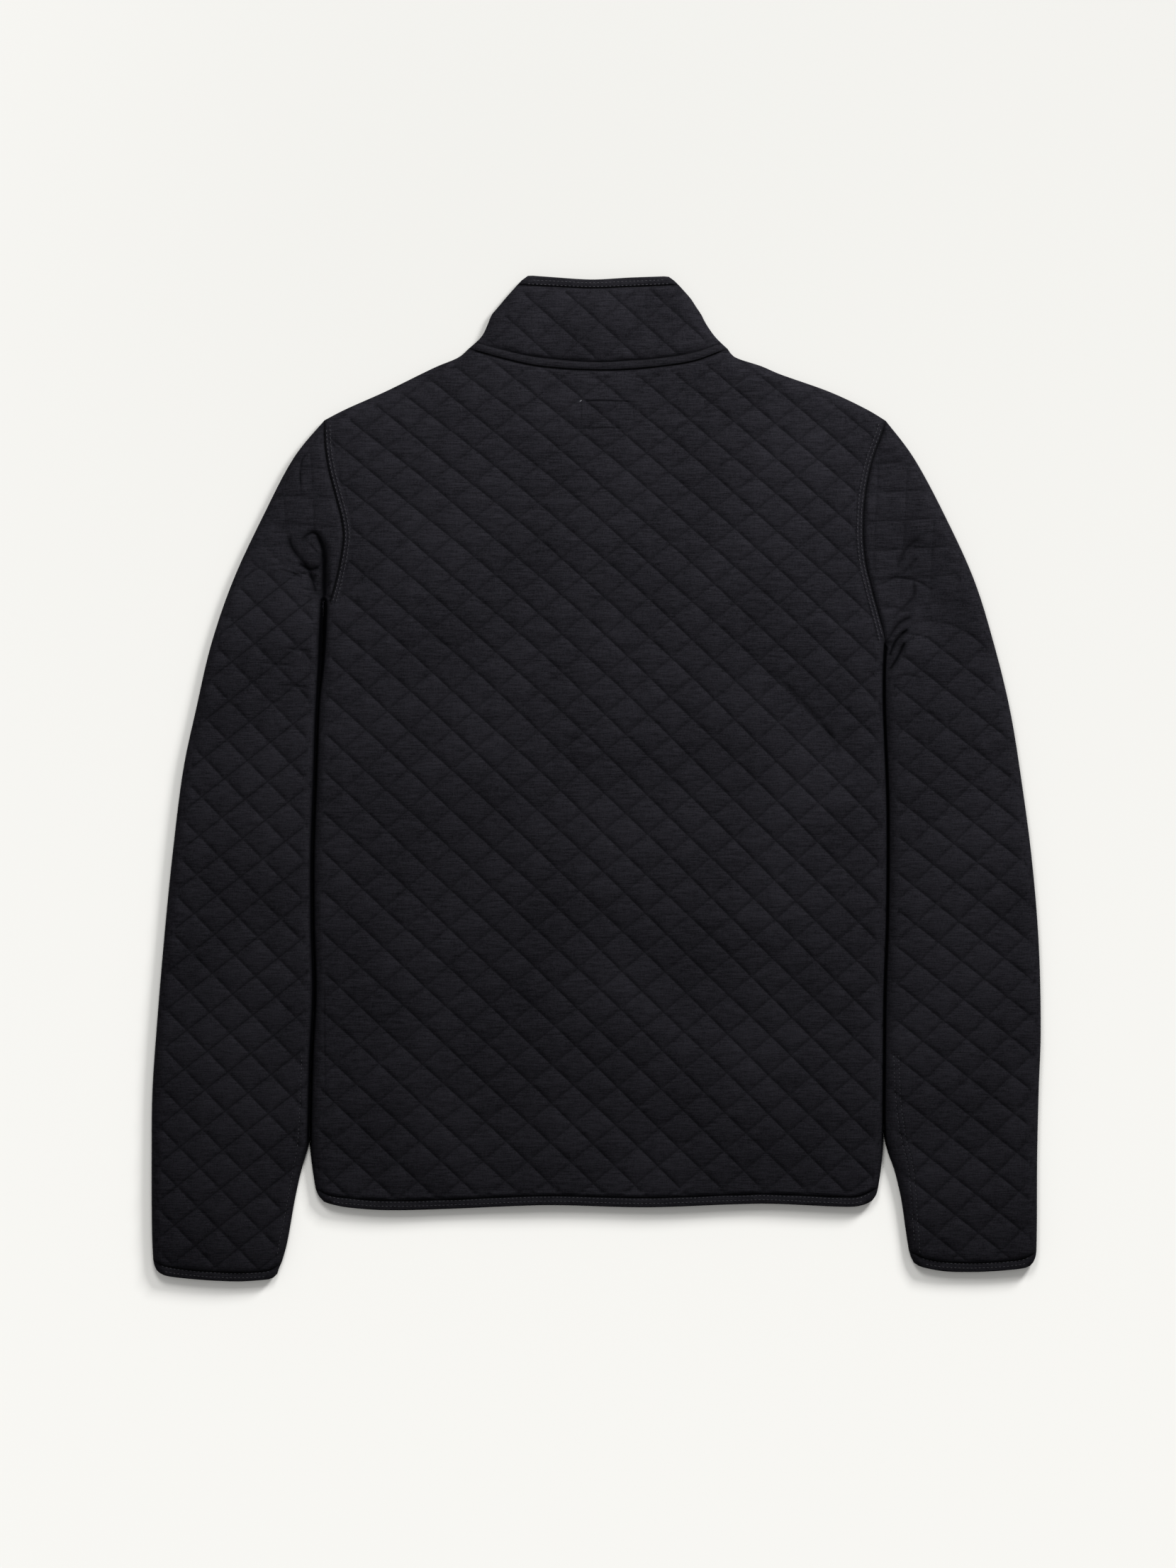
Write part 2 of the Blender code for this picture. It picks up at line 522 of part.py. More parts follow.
def add_wall(bm, sheet, level, quilting=None, neck=None, groove=(), inner_step=INNER_STEP, outer_step=None):
    """Adds one sheet of cloth, outer face, inner face and sewn ends, to a mesh."""
    outer, inner, kinds = outline_of(sheet)
    count = len(outer)
    rolled = [(outer[i], outer[(i + 1) % count]) for i in range(count) if kinds[i] != "cut"]
    rolled_in = [(inner[i], inner[(i + 1) % count]) for i in range(count) if kinds[i] != "cut"]
    sewn = [(outer[i], outer[(i + 1) % count]) for i in range(count) if kinds[i] == "cut"]
    sewn_in = [(inner[i], inner[(i + 1) % count]) for i in range(count) if kinds[i] == "cut"]
    on_fold = {i for i in range(count) if kinds[i] == "fold" or kinds[i - 1] == "fold"}
    on_seam = {i for i in range(count) if kinds[i] == "seam" or kinds[i - 1] == "seam"}

    def rings(outline, steps):
        points = []
        for i in range(count):
            if kinds[i] == "cut" or kinds[i - 1] == "cut":
                continue
            before, after = outline[i - 1], outline[(i + 1) % count]
            along = (after - before).normalized()
            points += [(outline[i] + Vector((-along.y, along.x)) * step, step) for step in steps]
        return points

    def fits(point, outline, near_rolled, near_sewn, roll_margin, sewn_margin):
        if not inside(point, outline):
            return False
        if distance_to(point, near_rolled) < roll_margin:
            return False
        return distance_to(point, near_sewn) > sewn_margin

    rim = []
    for point, step in rings(outer, [s * level.roll / ROLL for s in RIM_STEPS]):
        if fits(point, outer, rolled, sewn, RIM_KEEPS * step, RIM_TO_SEWN):
            rim.append(point)
    rim = spaced(rim, LEAST_RIM)

    puffs, spans, plain = [], [], []
    if quilting:
        def allowed(point):
            if neck and distance_to(point, neck) < NECK_MARGIN:
                return False
            return fits(point, outer, rolled, sewn, level.roll + QUILT_TO_ROLL, PUFF_MARGIN)
        lows, highs, pairs = quilt_points(quilting, allowed)
        plain = [p for p in groove if fits(p, outer, rolled, sewn, level.roll + GRID_TO_ROLL, FACE_TO_SEWN)]
        spans = [(len(rim) + i, len(rim) + i + 1) for i in range(len(plain) - 1)]
        index = {}
        for key, point in lows.items():
            index[key] = len(rim) + len(plain)
            plain.append(point)
        spans += [(index[a], index[b]) for a, b in pairs]
        puffs = list(highs.values())
    elif outer_step:
        for point in grid(outer, outer_step):
            if fits(point, outer, rolled, sewn, level.roll + GRID_TO_ROLL, GRID_TO_SEWN):
                plain.append(point)
    inner_points = rim + plain + puffs
    first_puff = len(outer) + len(rim) + len(plain)

    outer_level = {}
    vertices, triangles, order = triangulate(outer, inner_points, spans)
    made = []
    for i, vertex in enumerate(vertices):
        source = order[i]
        depth = distance_to(vertex, rolled)
        if source is not None and source in on_fold:
            height = HALF_HEIGHT
        elif source is not None and source in on_seam:
            height = level.at_seam()
        else:
            puff = PUFF if source is not None and source >= first_puff else 0.0
            height = level.outer(vertex, depth, puff)
        made.append(bm.verts.new((vertex.x * MM, vertex.y * MM, height * MM)))
        if source is not None and source < count:
            outer_level[source] = made[-1]
    for triangle in triangles:
        corners = [made[i] for i in triangle]
        bm.faces.new(corners if level.side > 0 else corners[::-1])

    rim_in = []
    for point, step in rings(inner, [INNER_RIM_STEP, level.roll - WALL]):
        if fits(point, inner, rolled_in, sewn_in, RIM_KEEPS * step, FACE_TO_SEWN):
            rim_in.append(point)
    rim_in = spaced(rim_in, LEAST_RIM)
    for point in grid(inner, inner_step):
        if fits(point, inner, rolled_in, sewn_in, level.roll + GRID_TO_ROLL, GRID_TO_SEWN):
            rim_in.append(point)
    inner_level = {}
    vertices, triangles, order = triangulate(inner, rim_in)
    made = []
    for i, vertex in enumerate(vertices):
        source = order[i]
        depth = distance_to(vertex, rolled_in)
        if source is not None and source in on_fold:
            height = HALF_HEIGHT
        elif source is not None and source in on_seam:
            height = level.at_seam()
        else:
            height = level.inner(vertex, depth)
        made.append(bm.verts.new((vertex.x * MM, vertex.y * MM, height * MM)))
        if source is not None and source < count:
            inner_level[source] = made[-1]
    for triangle in triangles:
        corners = [made[i] for i in triangle]
        bm.faces.new(corners[::-1] if level.side > 0 else corners)

    for i in range(count):
        if kinds[i] == "fold":
            continue
        j = (i + 1) % count
        corners = [outer_level[j], outer_level[i], inner_level[i], inner_level[j]]
        bm.faces.new(corners if level.side > 0 else corners[::-1])


def cloth(name, colour, *walls):
    """An object from one or more sheets, joined along the folds that they share."""
    bm = bmesh.new()
    for wall in walls:
        add_wall(bm, **wall)
    bmesh.ops.remove_doubles(bm, verts=bm.verts, dist=0.02 * MM)
    loose_corners = [e for e in bm.edges if e.is_boundary]
    bmesh.ops.holes_fill(bm, edges=loose_corners, sides=6)
    bmesh.ops.recalc_face_normals(bm, faces=bm.faces)
    bmesh.ops.triangulate(bm, faces=bm.faces)
    return finish(name, bm, colour)


def finish(name, bm, colour):
    mesh = bpy.data.meshes.new(name)
    bm.to_mesh(mesh)
    bm.free()
    mesh.materials.append(colour)
    made = bpy.data.objects.new(name, mesh)
    garment.objects.link(made)
    return made


def material(name, colour, roughness, metallic=0.0):
    made = bpy.data.materials.new(name)
    made.use_nodes = True
    shader = made.node_tree.nodes["Principled BSDF"]
    shader.inputs["Base Color"].default_value = (*colour, 1.0)
    shader.inputs["Roughness"].default_value = roughness
    shader.inputs["Metallic"].default_value = metallic
    made.diffuse_color = (*colour, 1.0)
    return made


# ---------------------------------------------------------------- the cloth pieces

def make_body():
    """The back lies on the front, and they are sewn at the shoulders and down the sides."""
    gap = SEAM_GAP / 2
    hem = shaped_edge("cut", HEM_SEAM, gap)
    right = shaped_edge("seam", BODY_RIGHT, backwards=True)
    armhole_right = shaped_edge("cut", ARMHOLE_RIGHT, gap, backwards=True)
    shoulder_right = shaped_edge("seam", SHOULDER_RIGHT)
    shoulder_left = shaped_edge("seam", SHOULDER_LEFT, backwards=True)
    armhole_left = shaped_edge("cut", ARMHOLE_LEFT, gap)
    underarm = edge("cut", [ARMHOLE_LEFT[-1], UNDERARM_LEFT], gap)
    left = shaped_edge("seam", BODY_LEFT)
    neck = shaped_edge("cut", NECK_BACK, gap, backwards=True)
    back = Sheet([hem, right, armhole_right, shoulder_right, neck, shoulder_left, armhole_left, underarm, left])
    cloth("back", quilted, dict(sheet=back, level=Upper(folds=BACK_FOLDS), quilting=back_quilting))

    slit = [edge("cut", [Point(SLIT_HALF, 313.0), Point(SLIT_HALF, ZIP_BOTTOM)]),
            edge("cut", [Point(SLIT_HALF, ZIP_BOTTOM), Point(-SLIT_HALF, ZIP_BOTTOM)]),
            edge("cut", [Point(-SLIT_HALF, ZIP_BOTTOM), Point(-SLIT_HALF, 313.0)])]
    neck_right = shaped_edge("cut", NECK_FRONT_RIGHT, gap, backwards=True)
    neck_left = shaped_edge("cut", NECK_FRONT_LEFT, gap, backwards=True)
    front = Sheet([hem, right, armhole_right, shoulder_right, neck_right, *slit, neck_left, shoulder_left,
                   armhole_left, underarm, left])
    cloth("front", quilted, dict(sheet=front, level=Lower()))


def make_sleeves():
    """Each sleeve is a flattened tube, folded along its outer side and sewn along its inner side."""
    gap = SEAM_GAP / 2
    left = Sheet([
        shaped_edge("fold", SLEEVE_LEFT_OUTER),
        shaped_edge("cut", CUFF_LEFT_SEAM, gap),
        shaped_edge("seam", SLEEVE_LEFT_INNER, backwards=True),
        shaped_edge("seam", UNDERARM_TAIL, step=8.0),
        edge("cut", [UNDERARM_LEFT, ARMHOLE_LEFT[-1]], gap),
        shaped_edge("cut", ARMHOLE_LEFT, gap, backwards=True)])
    right = Sheet([
        shaped_edge("fold", SLEEVE_RIGHT_OUTER, backwards=True),
        shaped_edge("cut", ARMHOLE_RIGHT[:-1] + [SLEEVE_RIGHT_INNER[0]], gap),
        shaped_edge("seam", SLEEVE_RIGHT_INNER),
        shaped_edge("cut", CUFF_RIGHT_SEAM, gap)])
    quilting_left = sleeve_quilting(-1, Vector((-226.0, 165.0)), Vector((-252.9, 206.8)))
    quilting_right = sleeve_quilting(1, Vector((237.0, 113.0)), Vector((251.1, 210.3)))
    for name, sheet, quilting, armhole in (("sleeve_left", left, quilting_left, ARMHOLE_LEFT),
                                           ("sleeve_right", right, quilting_right, ARMHOLE_RIGHT)):
        seam = [Vector(p) for p in armhole]

        def sleeve_lift(point, near=tuple(zip(seam, seam[1:]))):
            return SLEEVE_LOFT * min(1.0, distance_to(point, near) / SLEEVE_CLIMB)

        upper = Upper(lift=sleeve_lift, folds=SLEEVE_FOLDS)
        cloth(name, quilted, dict(sheet=sheet, level=upper, quilting=quilting),
              dict(sheet=sheet, level=Lower()))


def front_lift(point):
    return slider_lift(point, ZIP_LIFT)


def back_lift(point):
    return slider_lift(point, COLLAR_LIFT)


def make_collar():
    """The collar runs from one side of the zip round the back of the neck to the other side."""
    gap = SEAM_GAP / 2
    left = shaped_edge("fold", COLLAR_LEFT, backwards=True)
    right = shaped_edge("fold", COLLAR_RIGHT)
    back = Sheet([shaped_edge("cut", NECK_BACK, gap), right,
                  shaped_edge("cut", COLLAR_SEAM_BACK, gap, backwards=True), left])
    front_left = Sheet([shaped_edge("cut", NECK_FRONT_LEFT, gap),
                        edge("cut", [Point(-SLIT_HALF, 313.0), Point(-SLIT_HALF, 383.5)]),
                        shaped_edge("cut", COLLAR_SEAM_LEFT, gap, backwards=True), left])
    front_right = Sheet([shaped_edge("cut", NECK_FRONT_RIGHT, gap), right,
                         shaped_edge("cut", COLLAR_SEAM_RIGHT, gap, backwards=True),
                         edge("cut", [Point(SLIT_HALF, 383.5), Point(SLIT_HALF, 313.0)])])
    seam = smooth(NECK_BACK, 8.0)
    neck = list(zip(seam, seam[1:]))
    groove = [p + inward(seam, i) * NECK_GROOVE for i, p in enumerate(seam)]
    low = Lower(lift=front_lift)
    cloth("collar", quilted,
          dict(sheet=back, level=Upper(lift=back_lift), quilting=collar_quilting, neck=neck,
               groove=groove, inner_step=COLLAR_STEP),
          dict(sheet=front_left, level=low, inner_step=COLLAR_STEP, outer_step=COLLAR_STEP),
          dict(sheet=front_right, level=low, inner_step=COLLAR_STEP, outer_step=COLLAR_STEP))


def make_bindings():
    """The bound edges, each a flattened band that carries the cloth on to its end."""
    gap = SEAM_GAP / 2
    hem = Sheet([shaped_edge("cut", HEM_EDGE),
                 shaped_edge("fold", HEM_END_RIGHT, step=4.0),
                 shaped_edge("cut", HEM_SEAM, gap, backwards=True),
                 shaped_edge("fold", HEM_END_LEFT, step=4.0)])
    cuff_left = Sheet([shaped_edge("cut", CUFF_LEFT_EDGE),
                       edge("fold", [CUFF_LEFT_EDGE[-1], Point(-258.5, -399.0), CUFF_LEFT_SEAM[-1]]),
                       shaped_edge("cut", CUFF_LEFT_SEAM, gap, backwards=True),
                       edge("fold", [CUFF_LEFT_SEAM[0], Point(-360.4, -396.6), CUFF_LEFT_EDGE[0]])])
    cuff_right = Sheet([shaped_edge("cut", CUFF_RIGHT_EDGE),
                        edge("fold", [CUFF_RIGHT_EDGE[-1], Point(358.3, -390.2), CUFF_RIGHT_SEAM[-1]]),
                        shaped_edge("cut", CUFF_RIGHT_SEAM, gap, backwards=True),
                        edge("fold", [CUFF_RIGHT_SEAM[0], Point(256.3, -389.8), CUFF_RIGHT_EDGE[0]])])
    for name, sheet in (("hem_binding", hem), ("cuff_binding_left", cuff_left),
                        ("cuff_binding_right", cuff_right)):
        cloth(name, bound, dict(sheet=sheet, level=Upper(loft=BINDING_LOFT)), dict(sheet=sheet, level=Lower()))

    left = edge("fold", [COLLAR_EDGE_BACK[0], Point(-60.6, 406.3), COLLAR_SEAM_BACK[0]])
    right = edge("fold", [COLLAR_SEAM_BACK[-1], Point(63.6, 405.9), COLLAR_EDGE_BACK[-1]])
    back = Sheet([shaped_edge("cut", COLLAR_SEAM_BACK, gap), right,
                  shaped_edge("cut", COLLAR_EDGE_BACK, backwards=True), left])
    front_left = Sheet([shaped_edge("cut", COLLAR_SEAM_LEFT, gap),
                        edge("cut", [COLLAR_SEAM_LEFT[-1], COLLAR_EDGE_LEFT[-1]]),
                        shaped_edge("cut", COLLAR_EDGE_LEFT, backwards=True), left])
    front_right = Sheet([shaped_edge("cut", COLLAR_SEAM_RIGHT, gap), right,
                         shaped_edge("cut", COLLAR_EDGE_RIGHT, backwards=True),
                         edge("cut", [COLLAR_EDGE_RIGHT[0], COLLAR_SEAM_RIGHT[0]])])
    cloth("collar_binding", bound,
          dict(sheet=back, level=Upper(lift=back_lift, loft=BINDING_LOFT)),
          dict(sheet=front_left, level=Lower(lift=front_lift)),
          dict(sheet=front_right, level=Lower(lift=front_lift)))


def strip(name, colour, rows):
    """A strip of cloth from rows of near, far, low and high points, closed at its ends."""
    bm = bmesh.new()
    rings = []
    for near, far, low_near, low_far, thick in rows:
        corners = [(near.x, near.y, low_near), (far.x, far.y, low_far),
                   (far.x, far.y, low_far + thick), (near.x, near.y, low_near + thick)]
        rings.append([bm.verts.new([c * MM for c in corner]) for corner in corners])
    for first, second in zip(rings, rings[1:]):
        for i in range(4):
            j = (i + 1) % 4
            bm.faces.new((first[i], first[j], second[j], second[i]))
    bm.faces.new(rings[0][::-1])
    bm.faces.new(rings[-1])
    bmesh.ops.triangulate(bm, faces=bm.faces)
    bmesh.ops.recalc_face_normals(bm, faces=bm.faces)
    return finish(name, bm, colour)


def make_neck_band():
    """The strip that covers the back neck seam lies on the collar's lower edge."""
    seam = smooth(NECK_BACK, STRIP_STEP)
    sides = [Vector(p) for p in COLLAR_LEFT], [Vector(p) for p in COLLAR_RIGHT]
    rolled = [pair for side in sides for pair in zip(side, side[1:])]
    level = Upper(lift=back_lift)
    rows = []
    for i in range(1, len(seam) - 1):
        up = inward(seam, i)
        near = seam[i] + up * BAND_START
        far = near + up * BAND_WIDE
        depths = [distance_to(p, rolled) for p in (near, far)]
        if min(depths) > BAND_END:
            low = [level.outer(p, d) + SEAM_GAP for p, d in zip((near, far), depths)]
            rows.append((near, far, low[0], low[1], BAND_THICK))
    strip("neck_band", bound, rows)


# ---------------------------------------------------------------- the zip

def zip_level(up):
    """The height of the zip tape's lower face at a place along the zip."""
    return LOW_TOP + SEAM_GAP + slider_lift(Vector((0.0, up)), ZIP_LIFT)


def stations(low, high, step):
    """Evenly spaced places from low to high, about a step apart."""
    count = max(1, round((high - low) / step))
    return [low + (high - low) * i / count for i in range(count + 1)]


def make_zip_cloth():
    """The tapes lie behind the edges of the slit and carry the chain between them."""
    for name, hand in (("zip_tape_left", -1), ("zip_tape_right", 1)):
        rows = []
        for up in stations(ZIP_BOTTOM - TAPE_PAST_SLIT, TAPE_TOP, STRIP_STEP):
            edges = sorted((hand * TAPE_INNER, hand * TAPE_OUTER))
            near, far = Vector((edges[0], up)), Vector((edges[1], up))
            low = [LOW_TOP + SEAM_GAP + slider_lift(p, ZIP_LIFT) + TAPE_RISE for p in (near, far)]
            rows.append((near, far, low[0], low[1], TAPE_THICK))
        strip(name, tape, rows)
    rows = []
    chain_top = SLIDER_MIDDLE - SLIDER_LONG / 2 + CHANNEL_LONG - CHAIN_CLEAR
    for up in stations(ZIP_BOTTOM + CHAIN_PAST_SLIT, chain_top, STRIP_STEP):
        low = zip_level(up) + TAPE_THICK / 2 - CHAIN_THICK / 2
        rows.append((Vector((-CHAIN_HALF, up)), Vector((CHAIN_HALF, up)), low, low, CHAIN_THICK))
    strip("zip_chain", teeth, rows)


def block(name, size, centre):
    """A box of a given size and centre, in millimetres."""
    bpy.ops.mesh.primitive_cube_add(size=1.0, location=[c * MM for c in centre])
    made = bpy.context.object
    made.name = name
    made.scale = [s * MM for s in size]
    bpy.ops.object.transform_apply(location=False, rotation=False, scale=True)
    return made


def place_in(made, collection):
    """Moves an object to a collection of this model."""
    for owner in list(made.users_collection):
        owner.objects.unlink(made)
    collection.objects.link(made)


def joined(made, other, operation):
    """Cuts a solid with another, or adds the other to it, and keeps the other as a hidden helper."""
    modifier = made.modifiers.new(operation.lower(), "BOOLEAN")
    modifier.operation = operation
    modifier.object = other
    modifier.solver = "EXACT"
    other.hide_render = True
    other.display_type = "WIRE"
    place_in(other, helpers)


def make_slider():
    """The slider: two plates with a channel for the chain, and a bridge that holds the pull tab."""
    middle = zip_level(SLIDER_MIDDLE) + TAPE_THICK / 2
    channel_at = SLIDER_MIDDLE - SLIDER_LONG / 2 + CHANNEL_LONG / 2
    high = CHANNEL_HIGH + 2 * PLATE_THICK
    slider = block("zip_slider", (SLIDER_WIDE, SLIDER_LONG, high), (0.0, SLIDER_MIDDLE, middle))
    for vertex in slider.data.vertices:
        if vertex.co.y < 0:
            vertex.co.x *= SLIDER_TAPER
    bevel = slider.modifiers.new("softened", "BEVEL")
    bevel.width = SLIDER_SOFT * MM
    bevel.segments = 1
    channel = block("channel", (CHANNEL_WIDE * SLIDER_TAPER, CHANNEL_LONG + CUTTER_SLACK, CHANNEL_HIGH),
                    (0.0, channel_at - CUTTER_SLACK / 2, middle))
    joined(slider, channel, "DIFFERENCE")
    slot_wide = SLIDER_WIDE / 2 - POST_HALF + CUTTER_SLACK
    for hand in (-1, 1):
        slot = block("tape_slot", (slot_wide, SLIDER_LONG + CUTTER_SLACK, TAPE_SLOT),
                     (hand * (POST_HALF + slot_wide / 2), SLIDER_MIDDLE, middle))
        joined(slider, slot, "DIFFERENCE")
    face = middle - high / 2
    bridge_high = BRIDGE_HOLE_HIGH + BRIDGE_THICK
    bridge = block("bridge", (BRIDGE_WIDE, BRIDGE_LONG, bridge_high + BRIDGE_SUNK),
                   (0.0, SLIDER_MIDDLE, face - bridge_high / 2 + BRIDGE_SUNK / 2))
    joined(slider, bridge, "UNION")
    hole = block("bridge_hole", (BRIDGE_WIDE + CUTTER_SLACK, BRIDGE_HOLE_LONG, BRIDGE_HOLE_HIGH),
                 (0.0, SLIDER_MIDDLE, face - BRIDGE_HOLE_HIGH / 2))
    joined(slider, hole, "DIFFERENCE")
    slider.data.materials.append(metal)
    place_in(slider, garment)
    return face


def make_pull_tab(face):
    """The pull tab hangs from a bar through the bridge; its origin is on the bar's axis."""
    axis = Vector((0.0, SLIDER_MIDDLE - BRIDGE_HOLE_LONG / 2 + TAB_BAR_RADIUS + TAB_BAR_CLEAR,
                   face - BRIDGE_HOLE_HIGH / 2))
    outline = [(-TAB_WIDE / 2, 0.0)]
    end_radius = TAB_WIDE / 2
    for i in range(TAB_ROUND_SIDES + 1):
        angle = pi + pi * i / TAB_ROUND_SIDES
        outline.append((end_radius * cos(angle), -TAB_LONG + end_radius + end_radius * sin(angle)))
    outline.append((TAB_WIDE / 2, 0.0))
    half_window = TAB_WINDOW_WIDE / 2
    outline += [(half_window, 0.0), (half_window, -TAB_WINDOW_LONG),
                (-half_window, -TAB_WINDOW_LONG), (-half_window, 0.0)]
    bm = bmesh.new()
    half = TAB_THICK / 2
    top = bm.faces.new([bm.verts.new((x * MM, y * MM, half * MM)) for x, y in outline])
    made = bmesh.ops.extrude_face_region(bm, geom=[top])
    lowered = [v for v in made["geom"] if isinstance(v, bmesh.types.BMVert)]
    bmesh.ops.translate(bm, verts=lowered, vec=(0, 0, -TAB_THICK * MM))
    bmesh.ops.triangulate(bm, faces=bm.faces)
    bmesh.ops.recalc_face_normals(bm, faces=bm.faces)
    tab = finish("zip_pull_tab", bm, metal)
    tab.location = axis * MM
    bpy.ops.mesh.primitive_cylinder_add(vertices=16, radius=TAB_BAR_RADIUS * MM, depth=TAB_WIDE * MM,
                                        location=axis * MM, rotation=(0, pi / 2, 0))
    bar = bpy.context.object
    bar.name = "tab_bar"
    bpy.ops.object.transform_apply(location=False, rotation=True, scale=False)
    joined(tab, bar, "UNION")


for leftover in list(bpy.data.objects):
    bpy.data.objects.remove(leftover, do_unlink=True)
garment = bpy.data.collections.new("quilted_zip_pullover")
helpers = bpy.data.collections.new("helpers")
bpy.context.scene.collection.children.link(garment)
bpy.context.scene.collection.children.link(helpers)
quilted = material("quilted_knit", (0.016, 0.016, 0.018), 0.9)
bound = material("binding", (0.013, 0.013, 0.014), 0.85)
tape = material("zip_tape", (0.012, 0.012, 0.013), 0.8)
teeth = material("zip_teeth", (0.02, 0.02, 0.021), 0.5)
metal = material("zip_metal", (0.03, 0.03, 0.032), 0.4, 0.9)

make_body()
make_sleeves()
make_collar()
make_bindings()
make_neck_band()
make_zip_cloth()
make_pull_tab(make_slider())
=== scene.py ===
# %% [markdown]
# # A quilted zip pullover, laid flat with its back up
# The garment is black double knit, quilted in diamonds. The frame holds its plain solids. This lesson
# dresses them: each cloth piece becomes a fine shell with soft pillows, seams, creases and stitches,
# and then gets a knitted finish, a pale floor, a soft light and a camera straight above.

# %% Loading the frame
from collections import namedtuple
from math import cos, pi, radians, sin

import bmesh
import bpy
import numpy as np
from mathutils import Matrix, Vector
from mathutils.geometry import delaunay_2d_cdt


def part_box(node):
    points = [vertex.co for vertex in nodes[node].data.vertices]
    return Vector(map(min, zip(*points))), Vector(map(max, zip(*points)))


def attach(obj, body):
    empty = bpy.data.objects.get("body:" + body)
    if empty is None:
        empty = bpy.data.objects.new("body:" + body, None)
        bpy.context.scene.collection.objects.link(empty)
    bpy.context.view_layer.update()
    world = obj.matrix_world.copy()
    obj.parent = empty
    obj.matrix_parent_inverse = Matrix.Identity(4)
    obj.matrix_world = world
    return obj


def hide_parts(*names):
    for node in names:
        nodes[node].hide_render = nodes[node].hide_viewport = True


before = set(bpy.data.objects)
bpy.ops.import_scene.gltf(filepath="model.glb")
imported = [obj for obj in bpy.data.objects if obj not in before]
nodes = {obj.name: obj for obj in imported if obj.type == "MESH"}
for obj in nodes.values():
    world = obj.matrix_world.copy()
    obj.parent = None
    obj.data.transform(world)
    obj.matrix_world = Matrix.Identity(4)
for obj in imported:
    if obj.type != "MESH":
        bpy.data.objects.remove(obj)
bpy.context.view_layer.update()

MM = 0.001

# %% [markdown]
# ## The sizes of the cloth
# All sizes here are in millimetres, and are made metres when a mesh is written. The garment is two
# walls of cloth that lie on each other. At its sides both roll to half height, where they are folded
# or sewn together. These values are the same as the solids'.

# %% Thicknesses and heights
WALL = 2.4
LAYER_GAP = 2.2
ROLL = 7.5
LOW_TOP = WALL
HIGH_BOTTOM = WALL + LAYER_GAP
HIGH_TOP = HIGH_BOTTOM + WALL
HALF_HEIGHT = HIGH_TOP / 2
SLEEVE_LOFT = 1.2
SLEEVE_CLIMB = 30.0
BINDING_LOFT = 0.6
SLIDER_AT = 376.0
BACK_COLLAR_LIFT = 2.4
FRONT_COLLAR_LIFT = 1.3
LIFT_REACH = 45.0
print("the upper cloth's top is", HIGH_TOP, "mm up")

# %% [markdown]
# ## The outlines
# Each line of the cut is a few points, across and up from the middle of the garment.
# A soft curve goes through them. A longer list would only copy small wobbles of the cloth. Corners
# where several pieces meet have a name, so that the pieces share them exactly.

# %% Corners that several pieces share
SHOULDER_TIP_LEFT = (-221.6, 292.0)
SHOULDER_TIP_RIGHT = (236.1, 291.5)
NECK_POINT_LEFT = (-104.4, 350.0)
NECK_POINT_RIGHT = (107.3, 350.0)
ARMHOLE_FOOT_LEFT = (-216.5, 144.4)
BODY_TOP_LEFT = (-221.9, 144.2)
BODY_TOP_RIGHT = (235.9, 109.0)
SLEEVE_FOLD_TOP = (-222.1, 146.0)
HEM_CORNER_LEFT = (-228.8, -334.5)
HEM_CORNER_RIGHT = (229.9, -333.5)
HEM_TURN_LEFT = (-222.0, -345.2)
HEM_TURN_RIGHT = (225.0, -344.3)
CUFF_OUTER_LEFT = (-361.3, -392.0)
CUFF_OUTER_RIGHT = (359.0, -385.5)
CUFF_INNER_LEFT = (-256.2, -394.0)
CUFF_INNER_RIGHT = (254.8, -384.5)
COLLAR_CORNER_LEFT = (-64.5, 402.2)
COLLAR_CORNER_RIGHT = (67.3, 402.2)
COLLAR_TOP_LEFT = (-55.7, 409.8)
COLLAR_TOP_RIGHT = (59.2, 409.0)
print("hem corner to hem corner:", round(HEM_CORNER_RIGHT[0] - HEM_CORNER_LEFT[0]), "mm")

# %% Key points of the body
SHOULDER_LEFT = (SHOULDER_TIP_LEFT, (-203.6, 301.3), (-172.3, 315.2), (-143.8, 329.2), (-129.3, 336.1),
                 (-112.5, 343.1), NECK_POINT_LEFT)
SHOULDER_RIGHT = (SHOULDER_TIP_RIGHT, (219.8, 301.3), (190.2, 315.2), (150.8, 329.2), (134.6, 336.1),
                  (113.7, 343.1), NECK_POINT_RIGHT)
ARMHOLE_LEFT = (SHOULDER_TIP_LEFT, (-221.0, 272.3), (-218.1, 252.0), (-212.3, 229.4), (-207.6, 211.4),
                (-205.9, 196.9), (-207.6, 182.4), (-211.7, 162.1), ARMHOLE_FOOT_LEFT)
ARMHOLE_RIGHT = (SHOULDER_TIP_RIGHT, (231.4, 277.0), (224.5, 257.8), (219.2, 231.7), (217.5, 202.7),
                 (219.2, 177.8), (224.5, 154.6), (230.3, 133.1), (234.0, 119.0), BODY_TOP_RIGHT)
BODY_LEFT = (BODY_TOP_LEFT, (-223.3, 115.7), (-224.5, 92.5), (-227.4, 57.7), (-229.4, -0.3),
             (-231.4, -58.3), (-231.4, -116.3), (-230.0, -174.3), (-232.6, -232.3), (-233.7, -290.3),
             (-232.0, -313.5), HEM_CORNER_LEFT)
BODY_RIGHT = (BODY_TOP_RIGHT, (234.9, 86.7), (234.9, 57.7), (236.1, 28.7), (237.8, -17.7), (238.1, -58.3),
              (237.5, -116.3), (235.5, -174.3), (234.9, -232.3), (234.3, -290.3), (232.6, -315.0),
              HEM_CORNER_RIGHT)
